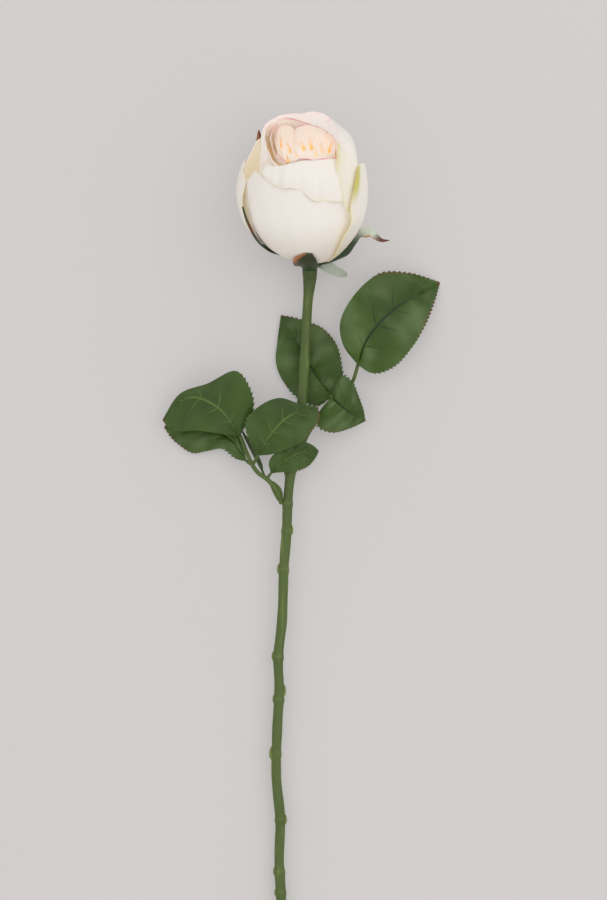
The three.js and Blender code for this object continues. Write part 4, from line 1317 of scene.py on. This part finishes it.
# Leaf stalks: the middle line from the stem to the end leaflet, the start of the branch to each
# other leaflet, and the middle line and width of the wing at the foot.
STALKS = {
    "stalk_left": {
        "leaf": "leaf_left_end",
        "main": [
            [-9.6, 300, 8.4], [-12.5, 307, 11], [-17.2, 312.6, 13.2], [-22, 316, 14],
            [-25.2, 320.4, 13.6], [-28.4, 327.5, 12.4],
        ],
        "branches": {
            "leaf_left_small": [-17.2, 312.6, 13.2],
            "leaf_left_edge": [-17.8, 313, 13.2],
            "leaf_left_centre": [-25, 320, 13.6],
            "leaf_left_lower": [-25.2, 320.4, 13.4],
        },
        "wing": [[-10.4, 301.6, 8.8], [-12, 306.4, 10.8], [-15, 311, 12.6]],
        "wing_width": 4,
    },
    "stalk_right": {
        "leaf": "leaf_right_end",
        "main": [
            [-2.2, 320, 8.9], [2.5, 333.5, 9.6], [9.5, 345.5, 9.6], [16, 353.6, 9], [22, 358, 9],
            [27.3, 363.4, 9.8],
        ],
        "branches": {
            "leaf_right_centre": [16, 353.6, 8.8],
            "leaf_right_small": [16, 353.6, 9.2],
        },
        "wing": [[-1.4, 322, 9], [0.2, 327, 9.5], [2, 332, 10]],
        "wing_width": 3.2,
    },
}
STALK_RADIUS = 1.15
WING_GRID = (10, 30)
WING_THICKNESS = 0.7
TWIG_COLUMNS = 14
SEAT_GAP = 0.2
SEAT_LENGTH = 1.2
FOOT_SHARE = 0.015
TIP_SHARE = 0.995


def twig(points, leaf, start_radius, end_radius):
    """Round stalk through the given points, on to the foot of a leaflet."""
    rib = Path(LEAFLETS[leaf]["rib"])
    foot = np.array(FOOT_SHARE)
    seat = [rib.at(foot) - rib.direction(foot) * d for d in (SEAT_GAP + SEAT_LENGTH, SEAT_GAP)]
    path = Path([*points, *seat])
    return tube(
        "twig",
        (TWIG_COLUMNS, int(path.length)),
        path,
        lambda d: lerp(start_radius, end_radius, d / path.length),
        nowhere,
    )


def wing_point(path, width, u, v):
    """Point of the narrow wing at the foot of a stalk."""
    along_path = path.direction(v)
    across = unit(np.stack([along_path[:, 1], -along_path[:, 0], 0 * v], -1))
    half = width / 2 * np.sin(math.pi * (0.15 + 0.75 * v)) + 0.3
    curl = 0.5 * np.abs(2 * u - 1) ** 2
    point = path.at(v) + (half * (2 * u - 1))[:, None] * across
    point[:, 2] += curl
    return point


class ROSE_OT_stalks(bpy.types.Operator):
    """Model the two branched leaf stalks and their wings"""

    bl_idname = "rose.stalks"
    bl_label = "Leaf stalks"

    def execute(self, context):
        colours = context.scene.rose_colours
        finish = stem_finish(colours)
        for node, shape in STALKS.items():
            pieces = [twig(shape["main"], shape["leaf"], STALK_RADIUS * 1.2, STALK_RADIUS * 0.8)]
            for leaf, start in shape["branches"].items():
                pieces.append(twig([start], leaf, STALK_RADIUS * 0.8, STALK_RADIUS * 0.6))
            path = Path(shape["wing"])
            pieces.append(
                sheet(
                    "wing",
                    WING_GRID,
                    WING_THICKNESS * MM,
                    lambda u, v: wing_point(path, shape["wing_width"], u, v),
                    {"bud": zero},
                )
            )
            finish_piece(join("moulded_" + node, pieces), finish, node)
        return {"FINISHED"}


# Leaflets, each as three curves of [x, y, z]: its midrib from foot to tip, and between these its
# left and right edge seen from above. puff: how far a half swells up between them. teeth: along
# each edge. toothed: shares of the length where the teeth start and end, on the left and on the
# right edge. rib_up: whether the lower face, with its raised veins, shows from above.
LEAFLETS = {
    "leaf_left_end": {
        "puff": 0.8, "teeth": 30, "rib_up": True,
        "toothed": (0, 0, 0.05, 0.4),
        "rib": [[-31.6, 335.4, 10.8], [-43.6, 350.5, 16], [-57.7, 355.8, 15], [-72.4, 343.8, 7]],
        "left": [
            [-39.4, 336.1, 13], [-47.3, 337.4, 14.5], [-55.1, 338.2, 14], [-62.6, 338, 11.5],
            [-68.9, 339.8, 9],
        ],
        "right": [
            [-25, 349.5, 14.5], [-27, 361, 17], [-33.6, 369.4, 18], [-48.2, 362.9, 17],
            [-63.1, 357.4, 12],
        ],
    },
    "leaf_left_lower": {
        "puff": 0.6, "teeth": 24, "rib_up": False,
        "toothed": (0.1, 1, 0.1, 1),
        "rib": [[-27.9, 322, 11], [-37.9, 334.3, 7.5], [-54.3, 340.1, 4.5], [-71.9, 340.1, 0.3]],
        "left": [
            [-33.2, 323.5, 8], [-40.6, 329.1, 6], [-48.5, 328, 4.4], [-56.5, 326.7, 3],
            [-65, 332.2, 1.4],
        ],
        "right": [
            [-31.1, 332.2, 9], [-36.4, 341.7, 7.5], [-44.8, 348, 6.5], [-54.3, 349.1, 5],
            [-63.9, 346.5, 2.8],
        ],
    },
    "leaf_left_centre": {
        "puff": 0.8, "teeth": 24, "rib_up": True,
        "toothed": (0.1, 0.35, 0.3, 1),
        "rib": [[-22.1, 325.1, 15.8], [-14.7, 336.9, 19.5], [-5.8, 345.8, 20.5], [9.4, 350.5, 18]],
        "left": [
            [-26.7, 334.3, 18], [-27.8, 343.7, 19.5], [-21.5, 350.8, 20.5], [-11, 355.2, 21],
            [-0.6, 352.3, 20],
        ],
        "right": [
            [-14.7, 325.9, 17.5], [-6.3, 329.3, 18.5], [1.5, 332.5, 18.5], [5.7, 338, 18],
            [9.4, 343.7, 18],
        ],
    },
    "leaf_left_small": {
        "puff": 0.5, "teeth": 18, "rib_up": True,
        "toothed": (0, 0, 0.4, 1),
        "rib": [[-15.3, 315.7, 14], [-8.4, 322.5, 15.2], [0.5, 327, 15], [9.9, 327.5, 13.5]],
        "left": [
            [-16.3, 321.7, 15], [-12.6, 327, 15.6], [-6.3, 330.1, 15.6], [1, 332.5, 15],
            [6.8, 330.4, 14],
        ],
        "right": [
            [-11.1, 316.2, 14.4], [-5.3, 316.7, 14.4], [0, 318, 14], [4.2, 319.9, 13.6],
            [7.8, 323.8, 13.5],
        ],
    },
    "leaf_left_edge": {
        "puff": 0, "teeth": 14, "rib_up": False,
        "toothed": (0, 0, 0, 0),
        "rib": [[-19, 314.9, 10.4], [-22.4, 323, 7], [-27.2, 332, 5.3], [-31.7, 340.1, 4.4]],
        "left": [[-22.2, 320.4, 4], [-26.9, 329.5, 2.6]],
        "right": [[-20.3, 321.4, 10], [-25.4, 330.8, 8.4]],
    },
    "leaf_right_end": {
        "puff": 1.2, "teeth": 32, "rib_up": False,
        "toothed": (0.58, 1, 0.1, 1),
        "rib": [[30.4, 372.7, 11.4], [35.1, 385.9, 16], [48.2, 400.9, 15], [73.9, 416.5, 0]],
        "left": [
            [22.5, 383.6, 14], [21.2, 395.6, 16], [29.3, 410.3, 17], [41.4, 420.1, 14.5],
            [57.3, 420.6, 8.5],
        ],
        "right": [
            [37.8, 368.7, 12], [49.3, 372.4, 12.5], [58.8, 382.4, 11.5], [65.2, 393.5, 9],
            [70, 405.5, 5],
        ],
    },
    "leaf_right_centre": {
        "puff": 0.4, "teeth": 26, "rib_up": False,
        "toothed": (0.05, 0.4, 0.1, 1),
        "rib": [[17.1, 355.9, 7], [9.4, 365.7, 4], [0, 381.5, 2.6], [-10.1, 399.2, 2.4]],
        "left": [
            [8.9, 351.7, 4.4], [-0.6, 355.7, 2.6], [-9, 364.4, 2], [-12.7, 374.2, 1.8],
            [-11.7, 387.1, 2],
        ],
        "right": [
            [22.1, 361.7, 5.4], [21.6, 371.2, 4], [18.9, 383.4, 3], [11.6, 392.1, 2.6],
            [1, 396.1, 2.4],
        ],
    },
    "leaf_right_small": {
        "puff": 0.8, "teeth": 18, "rib_up": False,
        "toothed": (0.1, 1, 0.3, 1),
        "rib": [[16.8, 355.6, 12.4], [21, 351.6, 13.6], [26.7, 347.4, 12.8], [34.4, 343.3, 9]],
        "left": [
            [18.9, 361.6, 13.4], [22.8, 366.3, 13.8], [27.3, 363.2, 13.6], [30.4, 356.4, 12.4],
            [32.8, 350.1, 10.8],
        ],
        "right": [
            [12.6, 350.1, 12.8], [9.2, 344.5, 12.6], [10.5, 340.1, 12], [17.3, 337.5, 11],
            [26.2, 339.6, 10],
        ],
    },
}
ROWS_PER_TOOTH = 6
LEAF_COLUMNS = 44


def tooth_shares(shape, u, v):
    """Size of the tooth at a point, and how far along the tooth it is."""
    teeth = shape["teeth"]
    left_start, left_end, right_start, right_end = shape["toothed"]
    first = np.where(u < 0.5, left_start, right_start)
    last = np.where(u < 0.5, left_end, right_end)
    size = 0.75 + 0.3 * np.sin(12.9 * np.floor(v * teeth))
    size = size * smoothstep(v - first, -0.05, 0.05) * smoothstep(last - v, -0.05, 0.05)
    return size, (v * teeth) % 1


def blade_point(shape, paths, tooth, u, v):
    """Point of a leaflet's blade between its midrib and its toothed edges."""
    middle, left, right = paths
    side = np.abs(2 * u - 1)
    share = lerp(FOOT_SHARE, TIP_SHARE, v)
    on_left = (u < 0.5)[:, None]
    base = middle.at(share)
    out = np.where(on_left, left.at(share), right.at(share)) - base
    width = np.maximum(np.linalg.norm(out, axis=1), 1e-6)
    size, ramp = tooth_shares(shape, u, v)
    notch = np.minimum(ramp / 0.7, (1 - ramp) / 0.3) * tooth * size * np.minimum(1, width / 5)
    stretch = 1 + notch / width * side**12
    ahead = np.where(on_left, left.direction(share), right.direction(share))
    base[:, 2] += 4 * shape["puff"] * side * (1 - side) * np.minimum(1, width / 8)
    return base + out * (side * stretch)[:, None] + ahead * (notch * side**12)[:, None]


def leaf_relief(shape, sizes, u, v):
    """Height of the veins and of the swollen blade between them, in millimetres."""
    side = np.abs(2 * u - 1)
    phase = vein_phase(side, v) % 1
    from_vein = np.minimum(phase, 1 - phase)
    fade = (1 - side**3) * smoothstep(v, 0, 0.12) * (1 - smoothstep(v, 0.8, 1))
    vein = np.exp(-((from_vein / 0.09) ** 2)) * fade * (1 - smoothstep(side, 0.3, 0.7))
    swell = 0.5 * (1 - np.cos(2 * math.pi * phase)) * fade * smoothstep(side, 0, 0.3)
    midrib = np.exp(-((side / 0.06) ** 2)) * (1 - smoothstep(v, 0.3, 0.95))
    depth = sizes.vein / MM
    if shape["rib_up"]:
        return midrib * sizes.rib / MM + vein * depth - swell * depth * 0.8
    return -midrib * sizes.rib / MM * 0.6 - vein * depth * 0.5 + swell * depth


class ROSE_OT_leaves(bpy.types.Operator):
    """Model the eight leaflets with their veins and teeth"""

    bl_idname = "rose.leaves"
    bl_label = "Leaflets"

    def execute(self, context):
        sizes, colours = context.scene.rose_sizes, context.scene.rose_colours
        for node, shape in LEAFLETS.items():
            foot, *_, tip = shape["rib"]
            edges = [Path([foot, *shape[edge], tip]) for edge in ("left", "right")]
            paths = [Path(shape["rib"]), *edges]

            def blade(u, v):
                return blade_point(shape, paths, sizes.tooth / MM, u, v)

            def smooth_blade(u, v):
                return blade_point(shape, paths, 0, u, v)

            def place(u, v):
                up = slopes(smooth_blade, u, v)
                up *= np.where(up[:, 2:] < 0, -1, 1)
                return blade(u, v) + up * leaf_relief(shape, sizes, u, v)[:, None]

            def tooth_mark(u, v):
                size, ramp = tooth_shares(shape, u, v)
                return size * smoothstep(ramp, 0.2, 0.7)

            grid = (LEAF_COLUMNS, shape["teeth"] * ROWS_PER_TOOTH)
            piece = sheet("fabric_" + node, grid, sizes.blade, place, {"tooth": tooth_mark})
            finish = leaf_finish(piece.name, colours, shape["rib_up"])
            finish_piece(piece, finish, node)
        return {"FINISHED"}


# Stage
CAMERA_PLACE = (1.0 * MM, 76.2 * MM)
VIEW_LENGTH = 475.3 * MM  # what the long side of the picture shows of the table
TABLE_SIZE = 6
TABLE_HEIGHT = -0.1 * MM
TABLE_GLOW = 0.4  # share of the table's light that comes from within, so that shadows stay faint
ROOM_LIGHT = 0.8
ROOM_COLOUR = (1, 0.99, 0.985, 1)
LAMP_TARGET = (0, 0.15, 0)
# Lamps: place and size in metres, and power in watts.
LAMPS = [((1.1, 0.6, 1.7), 2.4, 9), ((-1, 0.2, 1.9), 1.6, 2.5)]


class ROSE_OT_stage(bpy.types.Operator):
    """Set up the table, the soft lights and the camera straight above the rose"""

    bl_idname = "rose.stage"
    bl_label = "Stage"

    def execute(self, context):
        sizes, colours = context.scene.rose_sizes, context.scene.rose_colours
        bpy.ops.object.select_all(action="DESELECT")
        bpy.ops.mesh.primitive_plane_add(size=TABLE_SIZE, location=(0, 0, TABLE_HEIGHT))
        table = context.object
        table.name = "table"
        finish = Finish("table_top", 0.9, Specular_IOR_Level=0.1, Emission_Strength=TABLE_GLOW)
        mottle = finish.noise(finish.place(), 3)
        shades = [shaded(colours.table, factor) for factor in (0.985, 1.015)]
        lit = [shaded(shade, 1 - TABLE_GLOW) for shade in shades]
        finish.feed("Emission Color", finish.mix(mottle, *shades))
        finish.feed("Base Color", finish.mix(mottle, *lit))
        table.data.materials.append(finish.material)
        world = bpy.data.worlds.new("soft_room")
        world.use_nodes = True
        room = world.node_tree.nodes["Background"].inputs
        room["Color"].default_value = ROOM_COLOUR
        room["Strength"].default_value = ROOM_LIGHT
        context.scene.world = world
        for place, size, watts in LAMPS:
            bpy.ops.object.light_add(type="AREA", location=place)
            lamp = context.object
            lamp.data.size = size
            lamp.data.energy = watts
            lamp.visible_camera = False
            aim_at(lamp, LAMP_TARGET)
        bpy.ops.object.camera_add(location=(*CAMERA_PLACE, sizes.camera), rotation=(0, 0, 0))
        camera = context.object
        camera.data.lens = camera.data.sensor_width * sizes.camera / VIEW_LENGTH
        context.scene.camera = camera
        context.scene.view_settings.view_transform = "Standard"
        return {"FINISHED"}


def aim_at(lamp, target):
    """Turns a lamp towards a point."""
    offset = np.subtract(target, lamp.location)
    heading = math.atan2(offset[1], offset[0])
    drop = math.acos(-offset[2] / np.linalg.norm(offset))
    lamp.rotation_euler = (drop, 0, heading - math.pi / 2)


class ROSE_PT_panel(bpy.types.Panel):
    """Steps that build the rose, with its sizes and colours"""

    bl_idname = "ROSE_PT_panel"
    bl_label = "Rose bud"
    bl_space_type = "VIEW_3D"
    bl_region_type = "UI"
    bl_category = "Rose"

    def draw(self, context):
        for operator in OPERATORS:
            self.layout.operator(operator.bl_idname)
        for group in (context.scene.rose_sizes, context.scene.rose_colours):
            box = self.layout.box()
            for name in group.bl_rna.properties.keys():
                if name not in ("rna_type", "name"):
                    box.prop(group, name)


OPERATORS = (
    ROSE_OT_stage,
    ROSE_OT_petals,
    ROSE_OT_folded_petal,
    ROSE_OT_heart,
    ROSE_OT_calyx,
    ROSE_OT_stem,
    ROSE_OT_stalks,
    ROSE_OT_leaves,
)
CLASSES = (RoseSizes, RoseColours, *OPERATORS, ROSE_PT_panel)


def register():
    """Makes the sizes, colours, steps and panel known."""
    for each in CLASSES:
        bpy.utils.register_class(each)
    bpy.types.Scene.rose_sizes = bpy.props.PointerProperty(type=RoseSizes)
    bpy.types.Scene.rose_colours = bpy.props.PointerProperty(type=RoseColours)


def unregister():
    """Takes them out again."""
    del bpy.types.Scene.rose_colours
    del bpy.types.Scene.rose_sizes
    for each in reversed(CLASSES):
        bpy.utils.unregister_class(each)


def main():
    """Builds the whole rose."""
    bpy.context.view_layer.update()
    register()
    for operator in OPERATORS:
        family, step = operator.bl_idname.split(".")
        getattr(getattr(bpy.ops, family), step)()


if __name__ == "__main__":
    main()
